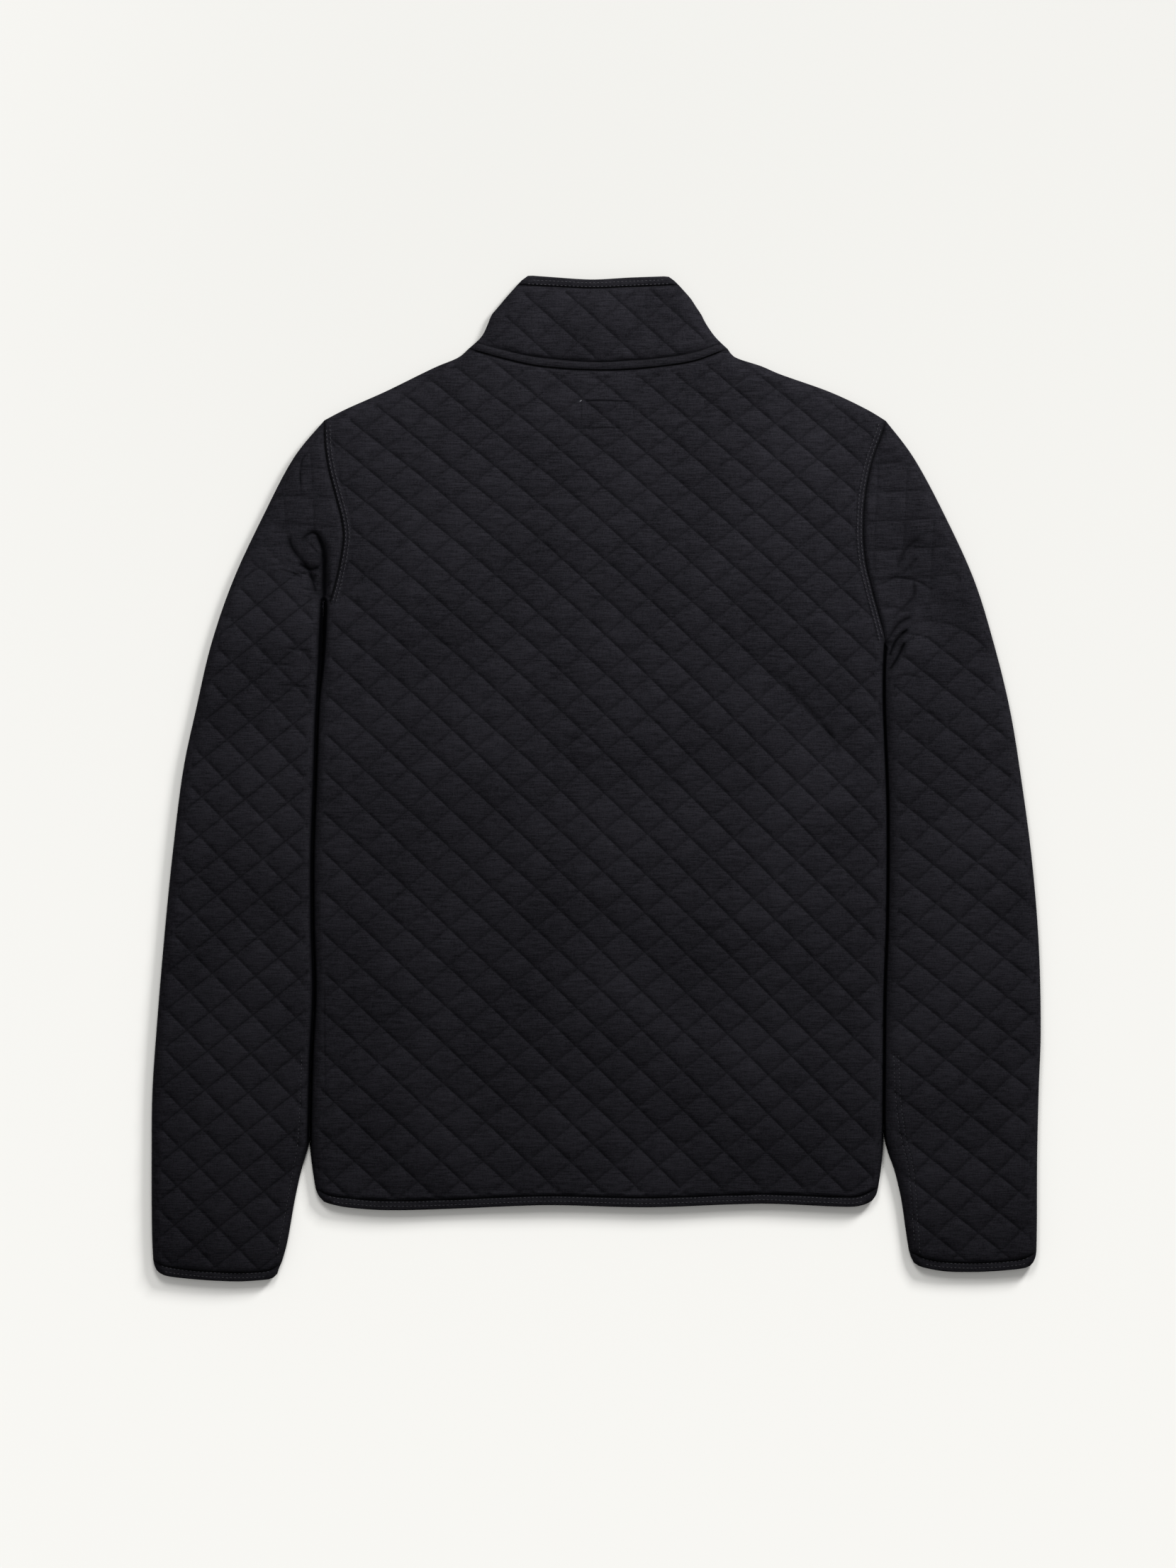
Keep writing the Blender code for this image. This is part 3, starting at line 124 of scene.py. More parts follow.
HEM_SEAM = (HEM_CORNER_LEFT, (-218.0, -339.5), (-203.6, -341.9), (-168.8, -344.3), (-116.6, -343.1),
            (-64.4, -340.8), (-29.6, -340.2), (40.0, -341.9), (109.6, -339.6), (144.4, -339.1),
            (196.6, -341.4), (214.0, -340.9), HEM_CORNER_RIGHT)
HEM_EDGE = (HEM_TURN_LEFT, (-203.6, -349.4), (-168.8, -351.8), (-116.6, -350.6), (-64.4, -348.3),
            (-29.6, -347.7), (40.0, -349.4), (109.6, -347.1), (144.4, -346.6), (196.6, -348.9),
            (214.0, -348.4), HEM_TURN_RIGHT)
HEM_END_LEFT = (HEM_CORNER_LEFT, (-226.5, -340.0), HEM_TURN_LEFT)
HEM_END_RIGHT = (HEM_TURN_RIGHT, (228.3, -339.5), HEM_CORNER_RIGHT)
UNDERARM_LEFT = (ARMHOLE_FOOT_LEFT, BODY_TOP_LEFT)
NECK_BACK = (NECK_POINT_LEFT, (-81.8, 343.4), (-52.8, 336.6), (-23.8, 333.4), (0.0, 332.4), (22.6, 332.7),
             (51.6, 335.3), (80.6, 340.0), NECK_POINT_RIGHT)
print("hem to collar:", round(NECK_BACK[4][1] - HEM_EDGE[5][1]), "mm")

# %% Key points of the sleeves
SLEEVE_LEFT_OUTER = (SHOULDER_TIP_LEFT, (-247.1, 260.7), (-272.0, 213.2), (-295.8, 162.1), (-313.8, 109.9),
                     (-326.0, 57.7), (-337.0, 5.5), (-345.7, -64.1), (-352.6, -133.7), (-358.4, -203.3),
                     (-361.9, -255.5), (-362.5, -307.7), (-362.3, -365.0), CUFF_OUTER_LEFT)
SLEEVE_LEFT_INNER = (SLEEVE_FOLD_TOP, (-222.1, 143.0), (-221.9, 136.0), (-222.7, 115.7), (-223.8, 92.5),
                     (-226.7, 57.7), (-228.7, -0.3), (-230.7, -58.3), (-230.7, -116.3), (-229.4, -174.3),
                     (-232.0, -232.3), (-233.4, -290.3), (-235.4, -303.0), (-240.3, -319.3),
                     (-245.5, -342.5), (-251.7, -377.3), CUFF_INNER_LEFT)
UNDERARM_TAIL = (SLEEVE_FOLD_TOP, (-221.95, 145.2), BODY_TOP_LEFT)
SLEEVE_RIGHT_OUTER = (SHOULDER_TIP_RIGHT, (259.3, 260.7), (284.2, 214.3), (308.0, 162.1), (324.2, 109.9),
                      (337.0, 57.7), (345.7, 5.5), (355.0, -64.1), (360.8, -133.7), (362.5, -203.3),
                      (360.8, -255.5), (359.6, -307.7), (359.4, -360.0), CUFF_OUTER_RIGHT)
SLEEVE_RIGHT_INNER = ((235.5, 107.5), (234.3, 86.7), (234.3, 57.7), (235.4, 28.7), (237.1, -17.7),
                      (237.4, -58.3), (236.8, -116.3), (234.9, -174.3), (234.3, -232.3), (234.2, -285.0),
                      (237.2, -303.0), (243.0, -319.3), (248.5, -342.5), (252.5, -370.0), CUFF_INNER_RIGHT)
CUFF_LEFT_SEAM = (CUFF_OUTER_LEFT, (-350.0, -397.5), (-325.0, -400.8), (-300.0, -402.3), (-280.0, -402.2),
                  (-266.0, -400.5), CUFF_INNER_LEFT)
CUFF_LEFT_EDGE = ((-358.5, -401.0), (-352.0, -404.8), (-342.8, -406.5), (-325.4, -408.2), (-308.0, -409.3),
                  (-290.6, -409.8), (-273.2, -408.8), (-264.5, -407.5), (-260.0, -404.0))
CUFF_RIGHT_SEAM = (CUFF_INNER_RIGHT, (268.0, -391.0), (283.6, -393.8), (301.0, -394.6), (318.4, -394.2),
                   (335.8, -392.9), (348.0, -391.0), CUFF_OUTER_RIGHT)
CUFF_RIGHT_EDGE = ((259.0, -395.0), (266.2, -398.4), (283.6, -401.6), (301.0, -402.2), (318.4, -401.8),
                   (335.8, -400.5), (350.0, -398.6), (356.5, -394.5))
CUFF_OUTER_TURN_LEFT, CUFF_INNER_TURN_LEFT = (-360.4, -396.6), (-258.5, -399.0)
CUFF_OUTER_TURN_RIGHT, CUFF_INNER_TURN_RIGHT = (358.3, -390.2), (256.3, -389.8)
print("sleeves:", len(SLEEVE_LEFT_OUTER), "and", len(SLEEVE_RIGHT_OUTER), "points down their outer sides")

# %% Key points of the collar and of the slit for the zip
SLIT_HALF = 4.5
ZIP_BOTTOM = 122.0
FRONT_NECK = 313.0
SLIT_TOP = 383.5
SLIT_END = 390.5
NECK_FRONT_LEFT = (NECK_POINT_LEFT, (-80.0, 332.0), (-45.0, 318.0), (-SLIT_HALF, FRONT_NECK))
NECK_FRONT_RIGHT = ((SLIT_HALF, FRONT_NECK), (45.0, 318.0), (80.0, 332.0), NECK_POINT_RIGHT)
COLLAR_LEFT = (NECK_POINT_LEFT, (-93.5, 360.2), (-88.2, 371.0), (-85.3, 377.9), (-79.5, 384.8),
               (-73.7, 391.8), COLLAR_CORNER_LEFT)
COLLAR_RIGHT = (NECK_POINT_RIGHT, (97.0, 360.0), (89.3, 371.0), (85.8, 377.9), (81.2, 384.8), (76.6, 391.8),
                COLLAR_CORNER_RIGHT)
COLLAR_SEAM_BACK = (COLLAR_CORNER_LEFT, (-35.0, 400.8), (-3.5, 399.3), (28.0, 400.6), COLLAR_CORNER_RIGHT)
COLLAR_EDGE_BACK = (COLLAR_TOP_LEFT, (-35.4, 408.3), (-3.5, 406.3), (28.4, 408.0), COLLAR_TOP_RIGHT)
COLLAR_END_LEFT = (COLLAR_TOP_LEFT, (-60.6, 406.3), COLLAR_CORNER_LEFT)
COLLAR_END_RIGHT = (COLLAR_CORNER_RIGHT, (63.6, 405.9), COLLAR_TOP_RIGHT)
COLLAR_SEAM_LEFT = (COLLAR_CORNER_LEFT, (-40.0, 392.0), (-SLIT_HALF, SLIT_TOP))
COLLAR_EDGE_LEFT = (COLLAR_TOP_LEFT, (-36.0, 399.5), (-SLIT_HALF, SLIT_END))
COLLAR_SEAM_RIGHT = ((SLIT_HALF, SLIT_TOP), (42.0, 392.0), COLLAR_CORNER_RIGHT)
COLLAR_EDGE_RIGHT = ((SLIT_HALF, SLIT_END), (38.0, 399.5), COLLAR_TOP_RIGHT)
print("the collar is", round(COLLAR_SEAM_BACK[2][1] - NECK_BACK[4][1]), "mm high at the back")

# %% [markdown]
# ## Lines and distances in the plan
# The cloth is a height over the plan, so all that a shell needs is a set of points, each with its
# distance to the edges, seams and creases. These helpers work on whole arrays of points at once.

# %% Curves through key points
EDGE_STEP = 4.0
CURVE_STEPS = 12


def reach_along(line):
    """How far along a line each of its points is."""
    return np.concatenate([[0], np.cumsum(np.linalg.norm(np.diff(line, axis=0), axis=1))])


def places_on(line, stops):
    """The places on a line at some distances along it."""
    return np.column_stack([np.interp(stops, reach_along(line), line[:, k]) for k in (0, 1)])


def evenly(line, step):
    """The same line as points about a step apart."""
    length = reach_along(line)[-1]
    return places_on(line, np.linspace(0, length, max(1, round(length / step)) + 1))


def smooth(keys, step=EDGE_STEP):
    """A soft curve through key points."""
    keys = np.array([keys[0], *keys, keys[-1]], float)
    t = np.linspace(0, 1, CURVE_STEPS + 1)[1:, None]
    dense = [keys[1]]
    for a, b, c, d in zip(keys, keys[1:], keys[2:], keys[3:]):
        dense.extend(0.5 * (2 * b + (c - a) * t + (2 * a - 5 * b + 4 * c - d) * t ** 2
                            + (3 * b - a - 3 * c + d) * t ** 3))
    return evenly(np.array(dense), step)


def normals(line):
    """The unit normals on the left of a line."""
    along = np.gradient(line, axis=0)
    along /= np.linalg.norm(along, axis=1)[:, None]
    return np.column_stack([-along[:, 1], along[:, 0]])


def offset(line, by):
    """The line moved to its left."""
    return line + normals(line) * by


def area(outline):
    """The area of a closed outline."""
    x, y = outline[:, 0], outline[:, 1]
    return abs(np.dot(x, np.roll(y, -1)) - np.dot(y, np.roll(x, -1))) / 2


print("the hem is", round(reach_along(smooth(HEM_SEAM))[-1]), "mm long")

# %% Distances to lines
FAR, SHORTEST = 1e9, 1e-9


def nearest(points, line):
    """For each point, its distance to a line, and how far along the line the nearest place is."""
    best = np.full(len(points), FAR)
    along = np.zeros(len(points))
    start = 0.0
    for a, b in zip(line, line[1:]):
        span = np.linalg.norm(b - a)
        if span == 0:
            continue
        unit = (b - a) / span
        reach = points - a
        place = np.clip(reach @ unit, 0, span)
        away = np.hypot(*(reach - place[:, None] * unit).T)
        closer = away < best
        best = np.where(closer, away, best)
        along = np.where(closer, start + place, along)
        start += span
    return best, along / max(start, SHORTEST)


def distance(points, lines):
    """The distance from each point to the nearest of some lines."""
    found = [nearest(points, line)[0] for line in lines]
    return np.min(found, axis=0) if found else np.full(len(points), FAR)


def inside(points, outline):
    """Which points are within a closed outline."""
    hit = np.zeros(len(points), bool)
    for a, b in zip(outline, np.roll(outline, -1, axis=0)):
        if a[1] != b[1]:
            crosses = (a[1] > points[:, 1]) != (b[1] > points[:, 1])
            at = a[0] + (points[:, 1] - a[1]) / (b[1] - a[1]) * (b[0] - a[0])
            hit ^= crosses & (points[:, 0] < at)
    return hit


print("a point 5 mm off:", distance(np.array([[0.0, 5.0]]), [np.array([[-9.0, 0.0], [9.0, 0.0]])]))

# %% Soft steps and bells


def ramp(value, low, high):
    """A soft step from 0 at low to 1 at high."""
    t = np.clip((value - low) / (high - low), 0, 1)
    return t * t * (3 - 2 * t)


def bell(away, wide, power=2):
    """1 on a line, and next to nothing two widths away. A higher power gives it a flatter top."""
    return np.exp(-(away / wide) ** power)


def mound(away):
    """1 in the middle of a mound, and 0 from its foot on, which is 1 away."""
    return np.cos(pi / 2 * np.minimum(away, 1)) ** 2


print("half a width from a line:", round(float(bell(0.5, 1.0)), 2))

# %% [markdown]
# ## The quilting
# Double knit like this is quilted on the machine: two fabrics are joined along crossing lines, with
# loft between them. A bump texture could draw the lines. Real pillows are made instead, because they
# catch the low light and show in the garment's outline. A quilt object turns places in the plan into
# diamonds and back. The back's rows bow a little, as they do on a garment that has been pulled flat by
# hand. A sleeve's turn about the underarm, because the sleeve was folded down there.

# %% Straight and bowed diamonds
DIAMOND_WIDE = 35.25
DIAMOND_HIGH = 31.75
DIAMOND_ACROSS = 1 / np.hypot(1 / DIAMOND_WIDE, 1 / DIAMOND_HIGH)
PLACE_ROUNDS = 8


def bow_of_back(points):
    """How far the back's two sets of lines have moved from straight, in diamonds.

    Each term is a pull of the cloth: towards the shoulders, the hem, the right side or the neck.
    """
    x, y = points.T
    to_shoulders, to_hem = np.maximum(0, (y - 80) / 165), np.maximum(0, (80 - y) / 325)
    to_right, past_middle = np.maximum(0, (x + 50) / 177), np.clip((x + 60) / 190, 0, 1)
    to_neck, low_down = np.maximum(0, (y - 120) / 120), np.maximum(0, (-110 - y) / 135)
    down = 0.95 - 0.26 * to_shoulders ** 2 - 0.30 * to_hem - 0.24 * to_right ** 1.3
    up = 0.44 + 0.30 * past_middle + 0.15 * to_neck ** 2 - 0.15 * low_down
    return down + 0.02 * np.sin(0.11 * x + 0.07 * y), up + 0.02 * np.sin(0.09 * x - 0.12 * y)


def off_line(value):
    """How far a place is from the nearest line of one set, in mm."""
    return np.abs(value - np.round(value)) * DIAMOND_ACROSS


class FlatQuilt:
    """Diamonds over a panel, with an optional bow."""

    def __init__(self, bow=None, origin=(0.0, 0.0)):
        self.bow = bow or (lambda points: (0.0, 0.0))
        self.origin = np.array(origin)

    def place(self, a, b):
        """The places of some diamonds. The bow depends on the place, so it is found in rounds."""
        points = np.zeros((len(a), 2))
        for _ in range(PLACE_ROUNDS):
            down, up = self.bow(points)
            points = self.straight(a + down, b + up)
        return points

    def straight(self, a, b):
        """The places of some diamonds without the bow."""
        return self.origin + np.column_stack([DIAMOND_WIDE / 2 * (a + b), DIAMOND_HIGH / 2 * (a - b)])

    def clearness(self, points):
        """How clearly the lines show: fully, all over a panel."""
        return np.ones(len(points))

    def diamonds(self, points):
        """Which diamonds some places are in. A line runs wherever either number is whole."""
        down, up = self.bow(points)
        x, y = ((points - self.origin) / (DIAMOND_WIDE, DIAMOND_HIGH)).T
        return x + y - down, x - y - up


print("one diamond of the back:", FlatQuilt(bow_of_back).place(np.array([0.5]), np.array([0.5])).round(1))

# %% The sleeves' turned diamonds
SLEEVE_LOW_TURN = radians(3.6)
SLEEVE_HIGH_TURN = radians(45.0)
TURN_RADIUS = 80.0
WRAP_BELOW = -pi / 2 - 1.2
CAP_FAINTER = 0.35
TURN_FAINTER = 0.3
TURN_STARTS, TURN_SETTLES, TURN_ENDS = -8.0, 12.0, 22.0


class SleeveQuilt:
    """Diamonds that turn about the underarm. hand is -1 on the left and 1 on the right."""

    def __init__(self, hand, pivot, crossing):
        self.hand, self.pivot = hand, np.array(pivot)
        self.bend = TURN_RADIUS * (SLEEVE_HIGH_TURN - SLEEVE_LOW_TURN)
        self.start = np.array(self.unroll(np.array([crossing], float))).T[0]

    def axes(self, turn):
        """The directions across and along the sleeve at a turn."""
        out = np.stack([self.hand * np.cos(turn), np.sin(turn)], -1)
        on = np.stack([-self.hand * np.sin(turn), np.cos(turn)], -1)
        return out, on

    def unroll(self, points):
        """Across and along the sleeve as if it lay straight."""
        reach = points - self.pivot
        turn = np.arctan2(reach[:, 1], self.hand * reach[:, 0])
        turn = np.where(turn < WRAP_BELOW, turn + 2 * pi, turn)
        low_out, low_on = self.axes(SLEEVE_LOW_TURN)
        high_out, high_on = self.axes(SLEEVE_HIGH_TURN)
        low = turn < SLEEVE_LOW_TURN
        high = turn > SLEEVE_HIGH_TURN
        across = np.hypot(*reach.T)
        along = (turn - SLEEVE_LOW_TURN) * TURN_RADIUS
        across = np.where(low, reach @ low_out, np.where(high, reach @ high_out, across))
        along = np.where(low, reach @ low_on, np.where(high, self.bend + reach @ high_on, along))
        return across, along

    def place(self, a, b):
        """The places of some diamonds."""
        across = self.start[0] + DIAMOND_WIDE / 2 * (a + b)
        along = self.start[1] + DIAMOND_HIGH / 2 * (a - b)
        turn = SLEEVE_LOW_TURN + np.clip(along, 0, self.bend) / TURN_RADIUS
        out, on = self.axes(turn)
        past = np.where(along > self.bend, along - self.bend, np.minimum(along, 0.0))
        return self.pivot + out * across[:, None] + on * past[:, None]

    def clearness(self, points):
        """The lines are clear below the underarm, faint on the cap, and faintest where they turn."""
        _, along = self.unroll(points)
        turning = ramp(along, TURN_STARTS, TURN_SETTLES) * ramp(along, self.bend + TURN_ENDS, self.bend)
        return 1.0 - CAP_FAINTER * ramp(along, 0.0, self.bend) - TURN_FAINTER * turning

    def diamonds(self, points):
        """Which diamonds some places are in."""
        across, along = self.unroll(points)
        x, y = (across - self.start[0]) / DIAMOND_WIDE, (along - self.start[1]) / DIAMOND_HIGH
        return x + y, x - y


quilt_of_back = FlatQuilt(bow_of_back)
quilt_of_front = FlatQuilt(origin=(3.0, 6.0))
quilt_of_collar = FlatQuilt(origin=(3.0, 371.0))
quilt_of_sleeve_left = SleeveQuilt(-1, (-226.0, 165.0), (-252.9, 206.8))
quilt_of_sleeve_right = SleeveQuilt(1, (237.0, 113.0), (251.1, 210.3))
here = quilt_of_sleeve_left.place(np.array([1.0]), np.array([-9.0]))
print("there and back:", here.round(1), [v.round(2) for v in quilt_of_sleeve_left.diamonds(here)])

# %% [markdown]
# ## Folds and creases
# A cloth simulation could wrinkle the cloth, but not in the places where this garment is wrinkled. So two
# kinds of mark are laid on it one by one. A fold is a broad, soft ridge or hollow. A crease is a narrow line
# with more points of its own beside it, such as a wrinkle under the arm or a stitched line.

# %% Folds of the back and of the sleeves
Fold = namedtuple("Fold", "x0 y0 x1 y1 wide high")
FOLD_REACH = 2.5
BACK_FOLDS = (
    Fold(-180.0, 63.0, -47.0, -174.0, 24.0, -1.1),
    Fold(63.0, 156.0, 150.0, 0.0, 26.0, 1.8),
    Fold(144.0, 87.0, 197.0, 23.0, 12.0, -1.5),
    Fold(22.0, -139.0, 139.0, -192.0, 24.0, -1.2),
    Fold(-12.0, -197.0, 92.0, -273.0, 28.0, 1.6),
    Fold(-175.0, -250.0, -117.0, -319.0, 16.0, 1.3),
    Fold(-195.0, 250.0, -145.0, 215.0, 22.0, -0.8),
    Fold(110.0, -235.0, 205.0, -330.0, 26.0, -1.0),
)
SLEEVE_FOLDS = (
    Fold(-253.0, 197.0, -229.0, 150.0, 9.0, -1.8),
    Fold(-246.0, 172.0, -262.0, 150.0, 9.0, 1.0),
    Fold(-240.0, 92.0, -270.0, 100.0, 8.0, -1.0),
    Fold(-240.0, 65.0, -268.0, 74.0, 8.0, -1.0),
    Fold(244.0, 122.0, 262.0, 158.0, 9.0, -1.6),
    Fold(244.0, 152.0, 262.0, 184.0, 8.0, -1.2),
    Fold(250.0, 112.0, 285.0, 128.0, 10.0, -1.0),
    Fold(252.0, 168.0, 262.0, 210.0, 9.0, 0.9),
    Fold(246.0, 92.0, 268.0, 78.0, 9.0, -1.0),
    Fold(247.0, 190.0, 262.0, 138.0, 12.0, -1.5),
    Fold(284.0, 205.0, 300.0, 140.0, 14.0, 1.2),
)


def fold_height(points, folds):
    """How far the folds raise or lower the cloth."""
    height = np.zeros(len(points))
    for fold in folds:
        line = np.array([(fold.x0, fold.y0), (fold.x1, fold.y1)])
        away = nearest(points, line)[0] / (FOLD_REACH * fold.wide)
        height += np.where(away < 1, fold.high * mound(away), 0)
    return height


print("folds:", len(BACK_FOLDS) + len(SLEEVE_FOLDS))

# %% Creases of the underarms, and the marks of a stitched rectangle
Crease = namedtuple("Crease", "keys wide deep")
SLEEVE_WRINKLES = (
    Crease(((-237.5, 196.5), (-232.0, 200.0), (-226.8, 198.0), (-222.6, 188.5), (-221.6, 178.0)), 1.9, 2.6),
    Crease(((-227.0, 197.0), (-222.8, 188.0), (-221.0, 178.5), (-221.6, 165.0), (-222.1, 140.0)), 2.8, 3.4),
    Crease(((-222.5, 182.0), (-221.5, 165.0), (-222.0, 145.0), (-222.3, 132.0)), 3.6, 2.4),
    Crease(((-249.5, 195.0), (-247.0, 186.5), (-237.0, 174.0), (-232.5, 165.5), (-228.5, 153.0)), 2.2, 1.45),
    Crease(((-240.5, 174.5), (-233.0, 170.5), (-226.5, 172.0)), 2.4, 1.6),
    Crease(((-232.5, 190.5), (-229.5, 186.0), (-226.5, 184.0)), 0.9, 0.8),
    Crease(((-256.5, 170.0), (-247.0, 167.0), (-240.4, 163.9)), 0.9, 1.0),
    Crease(((-234.1, 265.8), (-239.5, 258.9), (-241.2, 246.3), (-240.0, 233.7)), 0.9, 1.0),
    Crease(((-238.0, 154.5), (-233.0, 153.0), (-228.0, 153.5)), 0.8, 0.6),
    Crease(((-238.4, 199.8), (-230.9, 196.0), (-225.9, 192.2)), 0.9, 0.6),
    Crease(((-254.0, 106.0), (-243.0, 104.5), (-232.6, 104.0)), 1.0, 0.8),
    Crease(((-273.0, 94.5), (-260.0, 92.5), (-247.0, 92.0)), 1.0, 0.6),
    Crease(((-255.8, 76.5), (-244.0, 75.1), (-233.5, 74.0)), 1.0, 0.8),
    Crease(((-276.0, 63.5), (-262.0, 61.8), (-247.0, 61.0)), 1.0, 0.6),
    Crease(((245.9, 173.7), (251.0, 185.0), (260.4, 194.0)), 1.9, 1.1),
    Crease(((249.5, 166.0), (254.0, 171.5), (261.0, 179.5)), 1.5, 0.8),
    Crease(((227.0, 157.5), (236.0, 159.5), (244.2, 163.5), (262.0, 160.0), (273.0, 154.0)), 1.1, 0.9),
    Crease(((258.5, 160.5), (258.5, 149.0), (251.0, 139.5), (244.0, 133.0)), 1.6, 1.1),
    Crease(((240.0, 117.0), (246.5, 126.0), (255.0, 131.0)), 2.0, 1.4),
    Crease(((239.5, 101.0), (244.0, 112.0), (253.0, 121.0)), 2.2, 1.9),
    Crease(((242.5, 140.5), (248.0, 136.5), (258.0, 137.0)), 1.5, 0.7),
    Crease(((240.0, 90.0), (246.0, 99.5), (251.0, 110.0)), 2.2, 1.6),
    Crease(((243.0, 80.0), (252.0, 84.0), (263.0, 82.0)), 1.5, 0.7),
)
COVERSTITCHES = (
    Crease(((-239.5, -225.0), (-242.4, -290.3), (-247.0, -320.0), (-251.5, -345.0),
            (-260.5, -392.0)), 0.6, 0.5),
    Crease(((242.0, -225.0), (243.8, -262.0), (247.5, -290.0), (254.2, -319.0), (257.0, -352.0),
            (259.5, -385.0)), 0.6, 0.6),
    Crease(((246.0, -225.0), (247.8, -262.0), (251.5, -290.0), (258.2, -319.0), (261.0, -352.0),
            (263.5, -387.0)), 0.6, 0.6),
)
SLEEVE_CREASES = SLEEVE_WRINKLES + COVERSTITCHES
BACK_CREASES = (
    Crease(((-12.2, 307.0), (11.0, 307.2), (32.5, 306.4)), 0.7, 0.9),
    Crease(((-13.3, 285.2), (5.0, 285.0), (22.6, 285.4)), 0.7, 0.8),
    Crease(((-12.2, 307.0), (-12.5, 296.0), (-12.9, 285.2)), 0.6, 0.4),
    Crease(((30.2, 306.4), (30.4, 296.0), (30.2, 286.0)), 0.6, 0.3),
    Crease(((144.0, 87.0), (168.0, 62.0), (186.0, 42.0), (197.0, 22.9)), 2.2, 0.7),
    Crease(((-221.0, -160.0), (-221.5, -205.0), (-220.5, -255.0)), 0.8, 0.5),
    Crease(((-223.0, 285.0), (-215.0, 272.0), (-204.0, 262.0)), 1.6, 0.4),
)
NECK_CREASE = Crease(((-101.0, 356.0), (-82.0, 350.6), (-52.8, 344.0), (-23.8, 340.7), (-5.0, 339.3),
                      (10.0, 339.2), (22.6, 340.2), (51.6, 342.4), (80.6, 347.3), (103.0, 355.5)), 1.0, 1.3)
CREASE_ROWS = (-1.7, -0.8, 0.0, 0.8, 1.7)
CREASE_STEP = 2.0
FADE_OVER = 0.2
FADED = 0.2


def crease_line(crease):
    """The line of a crease."""
    return smooth(crease.keys, CREASE_STEP)


def crease_height(points, creases):
    """How far the creases cut into the cloth. Each fades out towards its ends."""
    height = np.zeros(len(points))
    for crease in creases:
        away, along = nearest(points, crease_line(crease))
        fade = ramp(along, 0.0, FADE_OVER) * ramp(along, 1.0, 1 - FADE_OVER)
        height -= crease.deep * bell(away, crease.wide) * (FADED + (1 - FADED) * fade)
    return height


print("creases:", len(SLEEVE_CREASES) + len(BACK_CREASES))

# %% [markdown]
# ## A shell of cloth
# A piece of cloth could be a grid that is cut with a Boolean and pushed up by a Displace modifier, but its
# points would then miss the lines of stitching. Here a shell is drawn in the plan first. Its points are
# the lattice of the quilting, rows along each edge where the cloth rolls, and rows beside each seam and
# crease. They are joined to triangles, and only then is each point lifted to its height. The inner face
# is plain, and both faces share their rims.

# %% The quilting's relief, and how a side rolls
PUFF = 1.35
PUFF_FULLNESS = 0.8
LINE_DEEP = 0.6
LINE_WIDE = 1.15
WAVE_HIGH = 0.28


def pillow(a, b):
    """The height of the quilting over its lines: a soft swell, and a narrow dent where it is stitched."""
    swell = (np.abs(np.sin(pi * a)) * np.abs(np.sin(pi * b))) ** PUFF_FULLNESS
    dents = [1 - bell(off_line(v), LINE_WIDE) for v in (a, b)]
    return (PUFF * swell + LINE_DEEP * dents[0] * dents[1]) / (PUFF + LINE_DEEP)


def waviness(points):
    """The slight unevenness of cloth that was smoothed out by hand, in waves of unlike lengths."""
    x, y = points.T
    wave = np.sin(x / 31 + y / 47 + 0.6) * np.sin(y / 39 - x / 73) + 0.6 * np.sin(x / 17 - y / 23 + 2.0)
    return WAVE_HIGH * wave


def rise(share):
    """The rounded profile of a rolled side."""
    return np.sqrt(1 - (1 - np.clip(share, 0, 1)) ** 2)


print("a pillow is", PUFF + LINE_DEEP, "mm high; on a line it is", pillow(np.array([0.0]), np.array([0.5])))

# %% [markdown]
# An edge of a wall is of one of four kinds. At a fold the two layers are one cloth, and at a seam they are
# joined: both roll there to half height. At a sewn edge the wall dips to meet the next piece, and a bound
# edge is a rounded free end.

# %% How high a wall's two faces stand
Edge = namedtuple("Edge", "kind line")
ROLLED = ("fold", "seam")
SEAM_ROWS = (0.6, 1.3, 2.4)
FLAT_GROOVE = 0.8
SEAM_DIP, SEAM_DIP_WIDE = 1.3, 1.0
END_ROUND, INNER_END_ROUND = 1.3, 0.6
QUILTING_FROM, PILLOW_FADE = 0.3, 3.0
SWELL_FROM, SWELL_TO = 1.5, 10.0
SUNK_FROM, SUNK_SHARE, SUNK_MOST = 1.5, 0.6, 1.5
THINNEST = 0.7
THICK_FROM = 0.6
TINY = 1e-6


